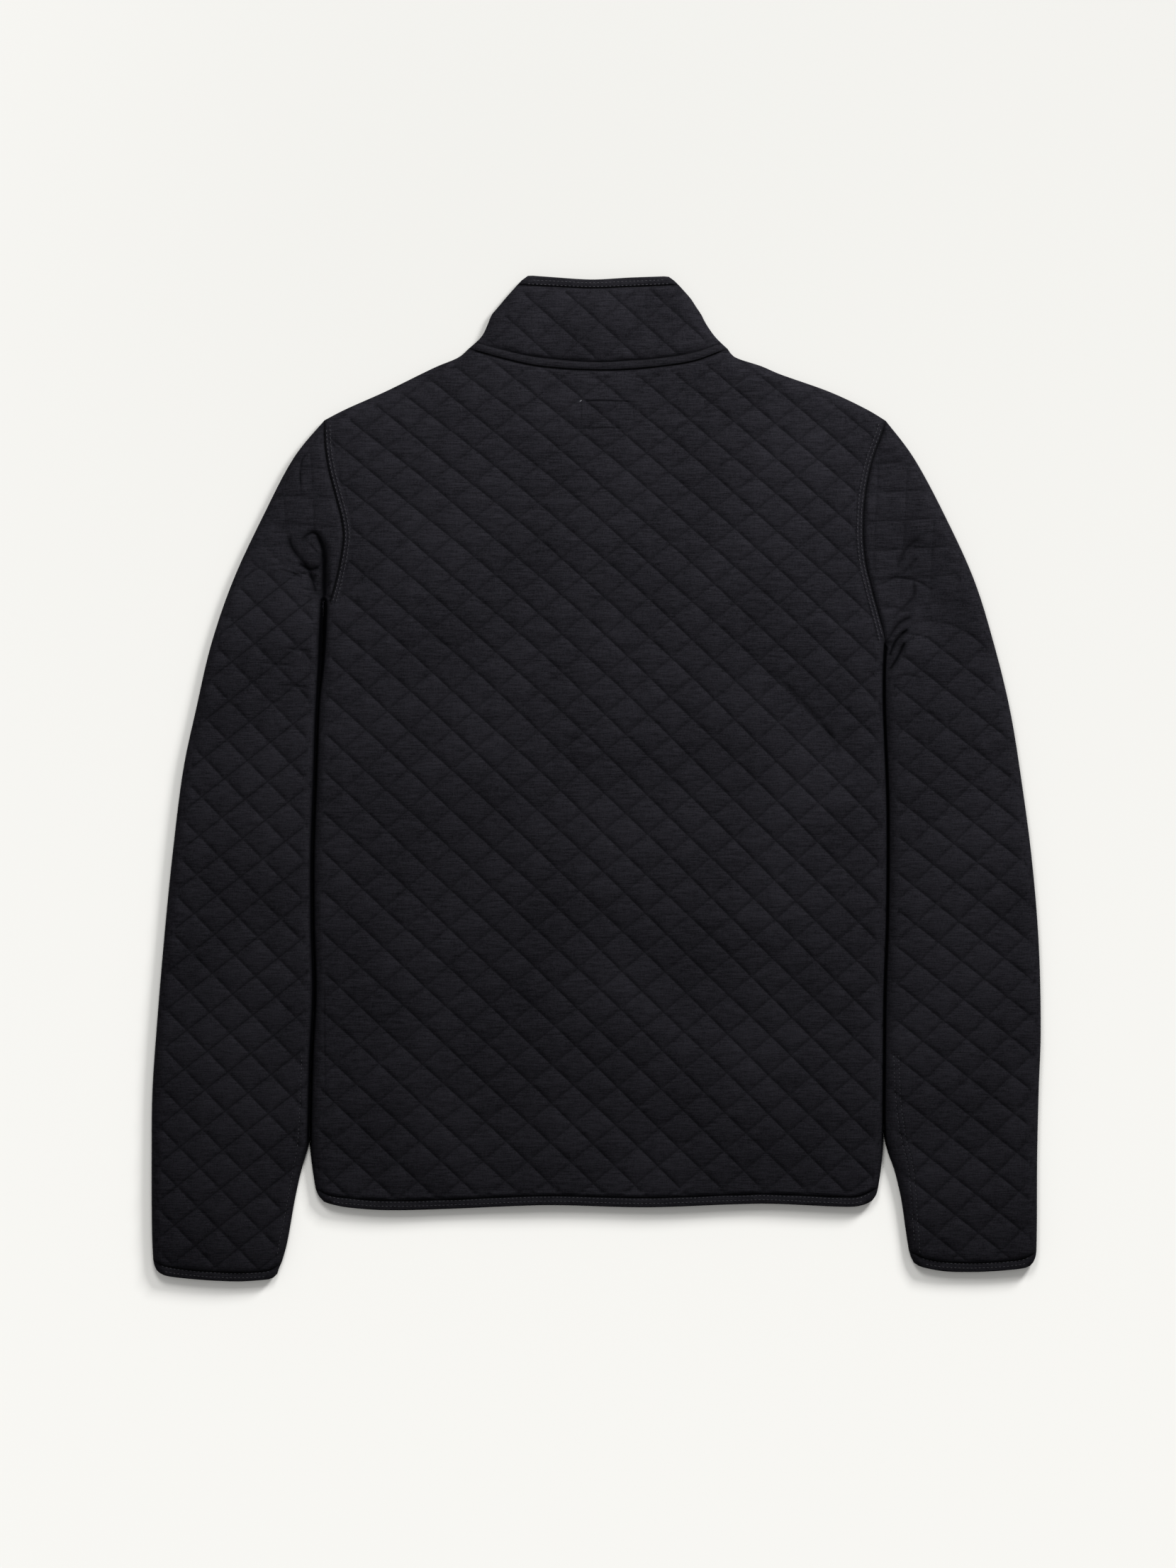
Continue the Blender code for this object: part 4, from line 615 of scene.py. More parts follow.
class Wall:
    """One layer of cloth: its outline, and the height of its faces over the plan."""

    def __init__(self, edges, upper, quilt=None, folds=(), creases=(), lift=None, loft=0.0, calm=(),
                 seam_rows=SEAM_ROWS, bulge=0.0, valleys=()):
        self.edges, self.upper, self.quilt = edges, upper, quilt
        self.folds, self.creases, self.calm, self.bulge = folds, creases, calm, bulge
        self.lift = lift or (lambda points: np.zeros(len(points)))
        self.loft, self.seam_rows, self.valleys = loft, seam_rows, valleys
        self.sunk = [crease for crease in creases if crease.deep > SUNK_FROM]
        self.rolled = [e.line for e in edges if e.kind in ROLLED]
        self.sewn = [e.line for e in edges if e.kind == "sewn"]
        self.bound = [e.line for e in edges if e.kind == "bound"]
        self.ends = self.sewn + self.bound

    def level(self, points):
        """The rise and fall that both faces share."""
        height = self.lift(points) + fold_height(points, self.folds)
        return height + waviness(points) if self.upper else height

    def sink(self, points):
        """How far the deepest creases push the inner face down too."""
        return np.maximum(SUNK_SHARE * crease_height(points, self.sunk), -SUNK_MOST)

    def quiet(self, points, reach):
        """How fully the quilting shows: it dies out at sewn edges and on calm strips."""
        shown = ramp(distance(points, self.sewn), QUILTING_FROM, QUILTING_FROM + reach)
        for line, near in self.calm:
            shown = shown * ramp(nearest(points, line)[0], near, near + reach)
        return shown

    def quilted(self, points, depth):
        """How far the quilting lifts an upper face, or lets its lines into a lower one."""
        quiet = self.quiet(points, PILLOW_FADE) * ramp(depth, SWELL_FROM, SWELL_TO)
        clear = self.quilt.clearness(points)
        puffed = (1 - clear * (1 - pillow(*self.quilt.diamonds(points)))) * quiet
        return (PUFF + LINE_DEEP) * puffed if self.upper else FLAT_GROOVE * (quiet - puffed)

    def wrinkled(self, points, height, shown):
        """The height with its creases, which leave the cloth at least its thinnest."""
        creased = height + crease_height(points, self.creases) * shown
        floor = HIGH_BOTTOM + self.level(points) + self.sink(points) + THINNEST
        return np.where(shown > THICK_FROM, np.maximum(creased, np.minimum(floor, height)), creased)

    def outer(self, points):
        """The height of the outer face, which rolls to half height at the sides."""
        depth, seam, end = (distance(points, lines) for lines in (self.rolled, self.sewn, self.bound))
        flat = self.level(points) + (HIGH_TOP + self.loft if self.upper else 0.0)
        height = HALF_HEIGHT + (flat - HALF_HEIGHT) * rise(depth / ROLL)
        shown = ramp(depth, 0.0, ROLL)
        if self.quilt:
            height = height + self.quilted(points, depth)
        if self.upper:
            height = self.wrinkled(points, height, shown)
            across = seam / np.maximum(seam + end, TINY)
            height = height + self.bulge * np.sin(pi * np.clip(across, 0, 1))
        sign = 1 if self.upper else -1
        height = height - sign * SEAM_DIP * bell(seam, SEAM_DIP_WIDE, 1) * shown
        return height - sign * END_ROUND * (1 - rise(end / END_ROUND)) * shown

    def inner(self, points):
        """The height of the plain inner face."""
        depth = distance(points, [offset(line, WALL) for line in self.rolled])
        end = distance(points, self.bound)
        flat = (HIGH_BOTTOM if self.upper else LOW_TOP) + self.level(points) + self.sink(points)
        height = HALF_HEIGHT + (flat - HALF_HEIGHT) * rise(depth / (ROLL - WALL))
        sign = -1 if self.upper else 1
        return height - sign * INNER_END_ROUND * (1 - rise(end / END_ROUND)) * ramp(depth, 0, ROLL)


print("a wall's outer face starts to roll", ROLL, "mm from its side")

# %% The two outlines of a wall
SLIDE_REACH = 12.0


def outlines(edges):
    """The outer and the inner outline of a wall, point for point, and the kind of each stretch."""
    outer, inner, kinds = [], [], []
    for i, edge in enumerate(edges):
        before, after = edges[i - 1], edges[(i + 1) % len(edges)]
        line = edge.line
        if edge.kind in ROLLED:
            moved = offset(line, WALL)
            if before.kind not in ROLLED:
                moved[0] = slid(before.line, False, True)[-1]
        else:
            moved = slid(line, before.kind in ROLLED, after.kind in ROLLED)
        outer.extend(line[:-1])
        inner.extend(moved[:-1])
        kinds.extend([edge.kind] * (len(line) - 1))
    return np.array(outer), np.array(inner), kinds


def slid(line, from_start, from_end):
    """A sewn end's inner line: beside a rolled side it slides in by the wall."""
    reach = reach_along(line)
    slide_reach = min(SLIDE_REACH, reach[-1])
    place = reach.copy()
    if from_start:
        place += WALL * np.clip(1 - reach / slide_reach, 0, 1)
    if from_end:
        place -= WALL * np.clip(1 - (reach[-1] - reach) / slide_reach, 0, 1)
    return places_on(line, np.clip(place, 0, reach[-1]))


print("a side's inner line is", WALL, "mm inside its outer line")

# %% The points of a wall's outer face
FINE_LATTICE = (0.0, 0.04, 0.12, 0.26, 0.42, 0.58, 0.74, 0.88, 0.96)
LATTICE_REACH = 44
ROLL_ROWS = (0.5, 1.3, 2.5, 4.0, 5.8, 7.7)
ROW_KEEPS = 0.85
ROLL_FROM_END = 0.4
MARK_FROM_EDGE = 1.0
LATTICE_FROM_ROLL, LATTICE_FROM_SEAM = 0.8, 0.5
MARK_APART, LATTICE_APART = 0.5, 1.0
NO_POINTS = np.zeros((0, 2))


def rows_beside(lines, distances, outline):
    """Rows of points inside an outline, at some distances from its lines."""
    found = [NO_POINTS]
    for line in lines:
        for away in distances:
            row = offset(line, away)
            row = row[inside(row, outline)]
            if len(row):
                found.append(row[distance(row, lines) > ROW_KEEPS * away])
    return np.concatenate(found)


def lattice_points(wall, outline):
    """The points of the quilting within a wall, packed closer beside its lines."""
    steps = np.array([n + t for n in range(-LATTICE_REACH, LATTICE_REACH + 1) for t in FINE_LATTICE])
    points = wall.quilt.place(*(grid.ravel() for grid in np.meshgrid(steps, steps)))
    low, high = outline.min(0), outline.max(0)
    points = points[((points > low) & (points < high)).all(1)]
    return points[inside(points, outline)]


def plain_points(outline, step):
    """An even pattern of points within an outline, every second row moved by half a step."""
    low, high = outline.min(0), outline.max(0)
    rows = np.arange(low[1] + step / 2, high[1], step)
    columns = np.arange(low[0] + step / 2, high[0], step)
    points = np.array([(x + step / 2 * (i % 2), y) for i, y in enumerate(rows) for x in columns])
    return points[inside(points, outline)] if len(points) else NO_POINTS


def apart(points, others, least):
    """The points that are at least some distance from the others, with both sorted into cells."""
    if not len(points) or not len(others):
        return points
    cells = {}
    for x, y in others:
        cells.setdefault((int(x // least), int(y // least)), []).append((x, y))
    kept = []
    for x, y in points:
        i, j = int(x // least), int(y // least)
        near = [p for di in (-1, 0, 1) for dj in (-1, 0, 1) for p in cells.get((i + di, j + dj), ())]
        if all((p[0] - x) ** 2 + (p[1] - y) ** 2 > least * least for p in near):
            kept.append((x, y))
    return np.array(kept).reshape(-1, 2)


def crease_points(wall, outline):
    """Rows of points along a wall's creases."""
    rows = [offset(crease_line(crease), away) for crease in wall.creases for away in CREASE_ROWS]
    points = np.concatenate([NO_POINTS, *rows])
    points = points[inside(points, outline)]
    return points[distance(points, wall.rolled + wall.sewn) > MARK_FROM_EDGE]


def outer_points(wall, outline, body_step):
    """All the points of a wall's outer face inside its outline."""
    rolls = rows_beside(wall.rolled, ROLL_ROWS, outline)
    rolls = rolls[distance(rolls, wall.ends) > ROLL_FROM_END]
    seams = rows_beside(wall.ends, wall.seam_rows, outline)
    seams = seams[distance(seams, wall.rolled) > ROLL_ROWS[-1]]
    points = lattice_points(wall, outline) if wall.quilt else plain_points(outline, body_step)
    points = points[distance(points, wall.rolled) > ROLL_ROWS[-1] + LATTICE_FROM_ROLL]
    points = points[distance(points, wall.ends) > wall.seam_rows[-1] + LATTICE_FROM_SEAM]
    marks = apart(crease_points(wall, outline), np.concatenate([rolls, seams]), MARK_APART)
    return np.concatenate([rolls, seams, marks, apart(points, marks, LATTICE_APART)])


print("rows at a rolled side:", ROLL_ROWS)

# %% The points of its inner face
INNER_GRID = 30.0
INNER_ROLL_ROWS = (1.5, ROLL - WALL)
SUNK_ROWS = (-6.0, -3.0, 0.0, 3.0, 6.0)
SUNK_FROM_EDGE, SUNK_APART = 2.0, 1.5
INNER_FROM_END = 3.0


def inner_points(wall, outline):
    """The inner face is plain: a coarse grid, rows where it rolls, and rows under the deepest creases."""
    rolled = [offset(line, WALL) for line in wall.rolled]
    points = plain_points(outline, INNER_GRID)
    points = points[distance(points, rolled + wall.ends) > ROLL]
    for crease in wall.sunk:
        line = smooth(crease.keys)
        beside = np.concatenate([offset(line, away) for away in SUNK_ROWS])
        beside = beside[inside(beside, outline)]
        beside = beside[distance(beside, wall.sewn + rolled) > SUNK_FROM_EDGE]
        points = np.concatenate([points, apart(beside, points, SUNK_APART)])
    points = np.concatenate([rows_beside(rolled, INNER_ROLL_ROWS, outline), points])
    return points[distance(points, wall.ends) > INNER_FROM_END]


print("the inner face has a point every", INNER_GRID, "mm")

# %% [markdown]
# ## Painted shade: how dark a place is
# Black cloth shows its relief by where no light reaches, and here that shade is painted into the colour.
# Each point of an outer face gets a number, its painted shade, that the finish reads later: it rises on a
# seam, a crease and a line of the quilting. Between a sleeve and the body the two rolled sides meet in a
# deep valley, which is nearly without light, so the most shade is painted there.

# %% Painted shade in grooves and valleys
# Painted shade: how wide it lies along a seam.
SEAM_SHADE_WIDE = 1.0
# The quilting lines are darker partly of their own, being pressed, and partly by painted shade. The down
# lines, which cross the light from the upper right, get more painted shade than the up lines.
LINE_SHADE_WIDE = 0.75
DOWN_LINES_SHADE, UP_LINES_SHADE = 0.85, 0.5
LINE_FADE = 1.0
# Painted shade in a crease: so much for each mm of its depth, and at most this.
CREASE_SHADE, CREASE_SHADE_MOST = 0.75, 1.2
# Painted shade in the valleys beside the sleeves: its widths, where it widens, and how weak it is at its
# lower end.
VALLEY_LEFT, VALLEY_RIGHT = 3.0, 2.1
VALLEY_GAPE = 1.6
GAPE_OPENS, GAPE_CLOSES = (60.0, 110.0), (138.0, 150.0)
VALLEY_SHUT, VALLEY_OPENS = 0.3, (-325.0, -285.0)
VALLEY_SHADE = 1.5
VALLEY_SOFT_SHADE = 0.6
VALLEY_REACH = 6.5


def valley(points, line):
    """The painted shade between a sleeve and the body, and the softer painted shade on its side away from the
    light.
    """
    across, up = points.T
    away = nearest(points, line)[0]
    rising = line[np.argsort(line[:, 1])]
    shaded = across > np.interp(up, rising[:, 1], rising[:, 0])
    gape = VALLEY_GAPE * (ramp(up, *GAPE_OPENS) - ramp(up, *GAPE_CLOSES))
    wide = np.where(across < 0, VALLEY_LEFT + gape, VALLEY_RIGHT)
    shut = VALLEY_SHUT + (1 - VALLEY_SHUT) * ramp(up, *VALLEY_OPENS)
    soft = np.where(shaded, VALLEY_SOFT_SHADE * bell(away, VALLEY_REACH), 0.0)
    return shut * np.maximum(VALLEY_SHADE * bell(away, wide, 4), soft)


def groove_of(wall, points):
    """How much shade is painted on a place in a line of the quilting, a seam, a crease or a valley."""
    # Painted shade along the seams, where the cloth dips, and in the creases.
    grooves = [bell(distance(points, wall.sewn), SEAM_SHADE_WIDE), np.zeros(len(points))]
    for crease in wall.creases:
        away = nearest(points, crease_line(crease))[0]
        grooves.append(bell(away, crease.wide) * min(CREASE_SHADE_MOST, CREASE_SHADE * crease.deep))
    if wall.quilt:
        # Painted shade on the quilting lines, stronger on the lines that cross the light.
        a, b = wall.quilt.diamonds(points)
        down = DOWN_LINES_SHADE * bell(off_line(a), LINE_SHADE_WIDE)
        up = UP_LINES_SHADE * bell(off_line(b), LINE_SHADE_WIDE)
        grooves.append(np.maximum(down, up) * wall.quiet(points, LINE_FADE) * wall.quilt.clearness(points))
    return np.max(grooves + [valley(points, line) for line in wall.valleys], axis=0)


print("the valley beside the left sleeve is", 2 * VALLEY_LEFT, "mm wide")

# %% From walls to a list of faces
SAME_SPOT = 1e-6
DRAWN_FACES = 1


def triangles_of(outline, points):
    """Triangles over an outline and the points inside it."""
    places = [Vector(p) for p in np.concatenate([outline, points])]
    rim = [list(range(len(outline)))]
    spots, _, faces, sources, _, _ = delaunay_2d_cdt(places, [], rim, DRAWN_FACES, SAME_SPOT)
    corner_of = {one: i for i, source in enumerate(sources) for one in source if one < len(outline)}
    return np.array([tuple(s) for s in spots]), faces, corner_of


def add_wall(wall, corners, faces, groove, body_step):
    """Adds one wall, its outer face, inner face and ends, to the lists of a mesh."""
    outer, inner, kinds = outlines(wall.edges)
    rims = []
    for outline, points, height, outwards in (
            (outer, outer_points(wall, outer, body_step), wall.outer, wall.upper),
            (inner, inner_points(wall, inner), wall.inner, not wall.upper)):
        spots, made, corner_of = triangles_of(outline, points)
        heights = height(spots)
        rim = {}
        for source, i in corner_of.items():
            rim[source] = len(corners) + i
            if kinds[source] in ROLLED or kinds[source - 1] in ROLLED:
                heights[i] = HALF_HEIGHT
        rims.append(rim)
        start = len(corners)
        corners.extend(np.column_stack([spots, heights]))
        # Only the outer face gets painted shade.
        groove.extend(groove_of(wall, spots) if height == wall.outer else np.zeros(len(spots)))
        for face in made:
            face = [start + c for c in face]
            faces.append(face if outwards else face[::-1])
    for i, kind in enumerate(kinds):
        j = (i + 1) % len(kinds)
        if kind != "fold" and i in rims[0] and j in rims[0]:
            corner = [rims[0][j], rims[0][i], rims[1][i], rims[1][j]]
            faces.append(corner if wall.upper else corner[::-1])
    return area(outer)


print("a wall's two faces share", HALF_HEIGHT, "mm, half the height, at its sides")

# %% A closed piece of the garment
SHELL_MERGE = 0.002
BODY_STEP = 9.0
CLOTH_SHARP = 65


def mended(mesh, merge=None):
    """Merges doubles, fills small gaps, cuts stray flaps off and turns the faces outwards."""
    bm = bmesh.new()
    bm.from_mesh(mesh)
    if merge:
        bmesh.ops.remove_doubles(bm, verts=bm.verts, dist=merge * MM)
    bmesh.ops.holes_fill(bm, edges=[e for e in bm.edges if e.is_boundary], sides=6)
    doubled = {f for e in bm.edges if len(e.link_faces) > 2 for f in e.link_faces}
    flaps = [f for f in doubled if any(e.is_boundary for e in f.edges)]
    bmesh.ops.delete(bm, geom=flaps, context="FACES")
    bmesh.ops.recalc_face_normals(bm, faces=bm.faces)
    open_edges = sum(e.is_boundary for e in bm.edges)
    bm.to_mesh(mesh)
    bm.free()
    return open_edges


def piece_of(name, mesh, sharp=None):
    """Puts a mesh in the scene as a piece that rides on the garment."""
    mesh.shade_smooth()
    if sharp:
        mesh.set_sharp_from_angle(angle=radians(sharp))
    piece = bpy.data.objects.new(name, mesh)
    bpy.context.scene.collection.objects.link(piece)
    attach(piece, "garment")
    return piece


def mesh_of(name, corners, faces):
    """A mesh from corners in mm."""
    mesh = bpy.data.meshes.new(name)
    mesh.from_pydata(np.array(corners) * MM, [], faces)
    return mesh


def shell(name, slot, *walls, body_step=BODY_STEP):
    """A closed piece of cloth from its walls. It returns the object and the area of its cut in mm2."""
    corners, faces, groove, cut = [], [], [], 0.0
    for wall in walls:
        cut += add_wall(wall, corners, faces, groove, body_step)
    mesh = mesh_of(name, corners, faces)
    # The attribute carries each point's painted shade to the finish.
    mark = mesh.attributes.new("groove", "FLOAT", "POINT")
    mark.data.foreach_set("value", np.array(groove, np.float32))
    open_edges = mended(mesh, SHELL_MERGE)
    piece = piece_of(name, mesh, CLOTH_SHARP)
    print(name, len(mesh.polygons), "faces,", open_edges, "open edges,", round(cut / 100), "cm2")
    return piece, cut


print("doubles closer than", SHELL_MERGE, "mm are merged")

# %% [markdown]
# ## Back and front
# The back is the largest panel and the one that shows. Its armholes carry a raised band where the seam
# allowance is pressed to the body and stitched down twice. The band could be a strip of its own, but on
# the real garment it is the back's own cloth, so it is part of the back's height. The front lies face
# down, so its pillows are pressed flat, and only the lines between them stand clear of the surface. It is
# slit for the zip.

# %% The body's panels
hem = smooth(HEM_SEAM)
body_right = smooth(BODY_RIGHT)[::-1]
body_left = smooth(BODY_LEFT)
armhole_left = smooth(ARMHOLE_LEFT)
armhole_right = smooth(ARMHOLE_RIGHT)[::-1]
shoulder_right = smooth(SHOULDER_RIGHT)
shoulder_left = smooth(SHOULDER_LEFT)[::-1]
neck = smooth(NECK_BACK)[::-1]
UNDERARM_STEP = 1.5
underarm = evenly(np.array(UNDERARM_LEFT), UNDERARM_STEP)
ARMHOLE_ROWS = (1.9, 4.8)
RIB_HIGH, RIB_WIDE = 1.0, 1.0
BETWEEN_RIBS, BETWEEN_HIGH, BETWEEN_WIDE = 3.35, 0.35, 0.9
ARMHOLE_BAND = 5.6
BAND_ROWS = (0.4, 0.9, 1.8, 2.8, 3.35, 3.9, 4.8, 5.7, 6.3)


class BackWall(Wall):
    """The back: a wall with a raised band round each armhole, in two ribs with a furrow between them."""

    def outer(self, points):
        """The height of the outer face, with the bands."""
        height = super().outer(points)
        shown = ramp(distance(points, self.rolled), 0.0, ROLL)
        for line in (armhole_left, armhole_right):
            away = nearest(points, line)[0]
            ribs = sum(bell(away - row, RIB_WIDE, 4) for row in ARMHOLE_ROWS)
            height += (RIB_HIGH * ribs + BETWEEN_HIGH * bell(away - BETWEEN_RIBS, BETWEEN_WIDE)) * shown
        return height


back_edges = [Edge("sewn", hem), Edge("seam", body_right), Edge("sewn", armhole_right),
              Edge("seam", shoulder_right), Edge("sewn", neck), Edge("seam", shoulder_left),
              Edge("sewn", armhole_left), Edge("sewn", underarm), Edge("seam", body_left)]
back_wall = BackWall(back_edges, True, quilt=quilt_of_back, folds=BACK_FOLDS, creases=BACK_CREASES,
                     calm=((armhole_left, ARMHOLE_BAND), (armhole_right, ARMHOLE_BAND)),
                     valleys=(body_left, body_right), seam_rows=BAND_ROWS)
back, back_cut = shell("back_panel", "quilted_knit", back_wall)
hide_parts("back")

# %% The front
ZIP_CALM = 5.0
slit = [np.array([(SLIT_HALF, FRONT_NECK), (SLIT_HALF, ZIP_BOTTOM)]),
        np.array([(SLIT_HALF, ZIP_BOTTOM), (-SLIT_HALF, ZIP_BOTTOM)]),
        np.array([(-SLIT_HALF, ZIP_BOTTOM), (-SLIT_HALF, FRONT_NECK)])]
front_edges = [Edge("sewn", hem), Edge("seam", body_right), Edge("sewn", armhole_right),
               Edge("seam", shoulder_right), Edge("sewn", smooth(NECK_FRONT_RIGHT)[::-1]),
               *[Edge("bound", evenly(line, EDGE_STEP)) for line in slit],
               Edge("sewn", smooth(NECK_FRONT_LEFT)[::-1]), Edge("seam", shoulder_left),
               Edge("sewn", armhole_left), Edge("sewn", underarm), Edge("seam", body_left)]
front_wall = Wall(front_edges, False, quilt=quilt_of_front, calm=((slit[0], ZIP_CALM), (slit[2], ZIP_CALM)))
front, front_cut = shell("front_panel", "quilted_knit", front_wall)
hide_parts("front")

# %% [markdown]
# ## Sleeves
# Each sleeve is a flattened tube with a fold down its outer side. The underarm seam runs down its inner
# side, out of sight in the valley, and is rolled here like a fold. The upper layer climbs a little above
# the back. The wrinkles at the underarm are where the sleeve was turned down beside the body.

# %% Both sleeves


def sleeve_lift(seam):
    """The sleeve's upper layer climbs away from the armhole."""
    return lambda points: SLEEVE_LOFT * np.clip(nearest(points, seam)[0] / SLEEVE_CLIMB, 0, 1)


sleeve_left_edges = [Edge("fold", smooth(SLEEVE_LEFT_OUTER)), Edge("sewn", smooth(CUFF_LEFT_SEAM)),
                     Edge("fold", smooth(SLEEVE_LEFT_INNER)[::-1]),
                     Edge("fold", smooth(UNDERARM_TAIL, UNDERARM_STEP)),
                     Edge("sewn", underarm[::-1]), Edge("sewn", armhole_left[::-1])]
right_armhole = smooth(ARMHOLE_RIGHT[:-1] + SLEEVE_RIGHT_INNER[:1])
sleeve_right_edges = [Edge("fold", smooth(SLEEVE_RIGHT_OUTER)[::-1]), Edge("sewn", right_armhole),
                      Edge("fold", smooth(SLEEVE_RIGHT_INNER)), Edge("sewn", smooth(CUFF_RIGHT_SEAM))]
sleeves, sleeve_cuts, sleeve_walls = {}, {}, {}
for side, edges, quilt, seam in (("left", sleeve_left_edges, quilt_of_sleeve_left, armhole_left),
                                 ("right", sleeve_right_edges, quilt_of_sleeve_right, right_armhole)):
    beside_body = [edge.line for edge in edges[1:] if edge.kind == "fold"]
    upper = Wall(edges, True, quilt=quilt, folds=SLEEVE_FOLDS, creases=SLEEVE_CREASES,
                 lift=sleeve_lift(seam), valleys=beside_body)
    lower = Wall(edges, False, quilt=quilt)
    sleeve_walls[side] = upper
    sleeves[side], sleeve_cuts[side] = shell(f"sleeve_{side}_tube", "quilted_knit", upper, lower)
    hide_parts(f"sleeve_{side}")

# %% [markdown]
# ## Collar
# The collar stands when it is worn. Laid flat, its back half lies on its two front halves, which the
# zip parts. So it is one upper wall and two lower ones, and a tube bent by a modifier isn't needed. The
# hidden slider lifts both layers in a gentle hill.

# %% The collar and its hill over the slider
NECK_CALM = 8.0


def hill(high):
    """The cloth's rise over the slider."""
    def lifted(points):
        return high * mound(np.hypot(points[:, 0], points[:, 1] - SLIDER_AT) / LIFT_REACH)
    return lifted


collar_left, collar_right = smooth(COLLAR_LEFT), smooth(COLLAR_RIGHT)
slit_left = evenly(np.array([(-SLIT_HALF, FRONT_NECK), (-SLIT_HALF, SLIT_TOP)]), EDGE_STEP)
slit_right = evenly(np.array([(SLIT_HALF, SLIT_TOP), (SLIT_HALF, FRONT_NECK)]), EDGE_STEP)
collar_back = [Edge("sewn", neck[::-1]), Edge("fold", collar_right),
               Edge("sewn", smooth(COLLAR_SEAM_BACK)[::-1]), Edge("fold", collar_left[::-1])]
collar_front_left = [Edge("sewn", smooth(NECK_FRONT_LEFT)), Edge("bound", slit_left),
                     Edge("sewn", smooth(COLLAR_SEAM_LEFT)[::-1]), Edge("fold", collar_left[::-1])]
collar_front_right = [Edge("sewn", smooth(NECK_FRONT_RIGHT)), Edge("fold", collar_right),
                      Edge("sewn", smooth(COLLAR_SEAM_RIGHT)[::-1]), Edge("bound", slit_right)]
collar_wall = Wall(collar_back, True, quilt=quilt_of_collar, lift=hill(BACK_COLLAR_LIFT),
                   calm=((neck, NECK_CALM),), creases=(NECK_CREASE,))
collar, collar_cut = shell(
    "collar_cloth", "quilted_knit", collar_wall,
    *[Wall(edges, False, quilt=quilt_of_collar, lift=hill(FRONT_COLLAR_LIFT))
      for edges in (collar_front_left, collar_front_right)])
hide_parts("collar")

# %% [markdown]
# ## Bindings
# The hem, the cuffs and the collar's top edge are bound with a plain knitted strip, turned over the
# edge and stitched down. A bevel on the cloth's edge would look alike from afar, but the strip is another
# knit with no quilting. So each is a piece of its own, made by the same shell. It stands a little prouder
# than the cloth beside it and is rounded at its end.

# %% Hem, cuffs and collar edge
BIND_ROWS = (0.4, 0.9, 1.5, 2.3, 3.2)
BIND_STEP = 3.0
BIND_BULGE = 0.3
BIND_SIDE_STEP = 2.0


def upper_strip(edges, lift=None):
    """The strip that shows, which swells between its seam and its turned edge."""
    return Wall(edges, True, loft=BINDING_LOFT, seam_rows=BIND_ROWS, bulge=BIND_BULGE, lift=lift)


def lower_strip(edges, lift=None):
    """The strip on the underside."""
    return Wall(edges, False, seam_rows=BIND_ROWS, lift=lift)


def binding(name, node, end, side_a, seam, side_b):
    """A bound edge that runs all round: an upper and a lower strip, joined at the side folds."""
    edges = [Edge("bound", end), Edge("fold", side_a), Edge("sewn", seam), Edge("fold", side_b)]
    upper = upper_strip(edges)
    piece, cut = shell(name, "binding", upper, lower_strip(edges), body_step=BIND_STEP)
    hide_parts(node)
    return piece, cut, upper


def side_line(*points):
    """A short side of a strip, through a few points."""
    return evenly(np.array(points, float), BIND_SIDE_STEP)


hem_strip, hem_cut, hem_wall = binding(
    "hem_strip", "hem_binding", smooth(HEM_EDGE), smooth(HEM_END_RIGHT, BIND_SIDE_STEP),
    hem[::-1], smooth(HEM_END_LEFT, BIND_SIDE_STEP))
cuff_left, cuff_right = smooth(CUFF_LEFT_SEAM), smooth(CUFF_RIGHT_SEAM)
cuff_strip_left, cuff_left_cut, cuff_left_wall = binding(
    "cuff_strip_left", "cuff_binding_left", smooth(CUFF_LEFT_EDGE),
    side_line(CUFF_LEFT_EDGE[-1], CUFF_INNER_TURN_LEFT, CUFF_INNER_LEFT), cuff_left[::-1],
    side_line(CUFF_OUTER_LEFT, CUFF_OUTER_TURN_LEFT, CUFF_LEFT_EDGE[0]))
cuff_strip_right, cuff_right_cut, cuff_right_wall = binding(
    "cuff_strip_right", "cuff_binding_right", smooth(CUFF_RIGHT_EDGE),
    side_line(CUFF_RIGHT_EDGE[-1], CUFF_OUTER_TURN_RIGHT, CUFF_OUTER_RIGHT), cuff_right[::-1],
    side_line(CUFF_INNER_RIGHT, CUFF_INNER_TURN_RIGHT, CUFF_RIGHT_EDGE[0]))

# %% The collar's binding
end_left, end_right = side_line(*COLLAR_END_LEFT), side_line(*COLLAR_END_RIGHT)
collar_seam = smooth(COLLAR_SEAM_BACK)
top_back = [Edge("sewn", collar_seam), Edge("fold", end_right),
            Edge("bound", smooth(COLLAR_EDGE_BACK)[::-1]), Edge("fold", end_left)]
top_left = [Edge("sewn", smooth(COLLAR_SEAM_LEFT)),
            Edge("bound", side_line(COLLAR_SEAM_LEFT[-1], COLLAR_EDGE_LEFT[-1])),
            Edge("bound", smooth(COLLAR_EDGE_LEFT)[::-1]), Edge("fold", end_left)]
top_right = [Edge("sewn", smooth(COLLAR_SEAM_RIGHT)), Edge("fold", end_right),
             Edge("bound", smooth(COLLAR_EDGE_RIGHT)[::-1]),
             Edge("bound", side_line(COLLAR_EDGE_RIGHT[0], COLLAR_SEAM_RIGHT[0]))]
collar_top_wall = upper_strip(top_back, hill(BACK_COLLAR_LIFT))
collar_top, collar_top_cut = shell(
    "collar_strip", "binding", collar_top_wall, lower_strip(top_left, hill(FRONT_COLLAR_LIFT)),
    lower_strip(top_right, hill(FRONT_COLLAR_LIFT)), body_step=BIND_STEP)
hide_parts("collar_binding")

# %% [markdown]
# ## The strip over the back neck seam
# A narrow tape covers the seam between collar and back. It is a soft rounded strip, stitched down
# along both edges, so it shows as a raised band between two dark grooves. A curve with a bevel could
# carry it. It is built of rings instead, because each ring can take the height of the cloth below it.

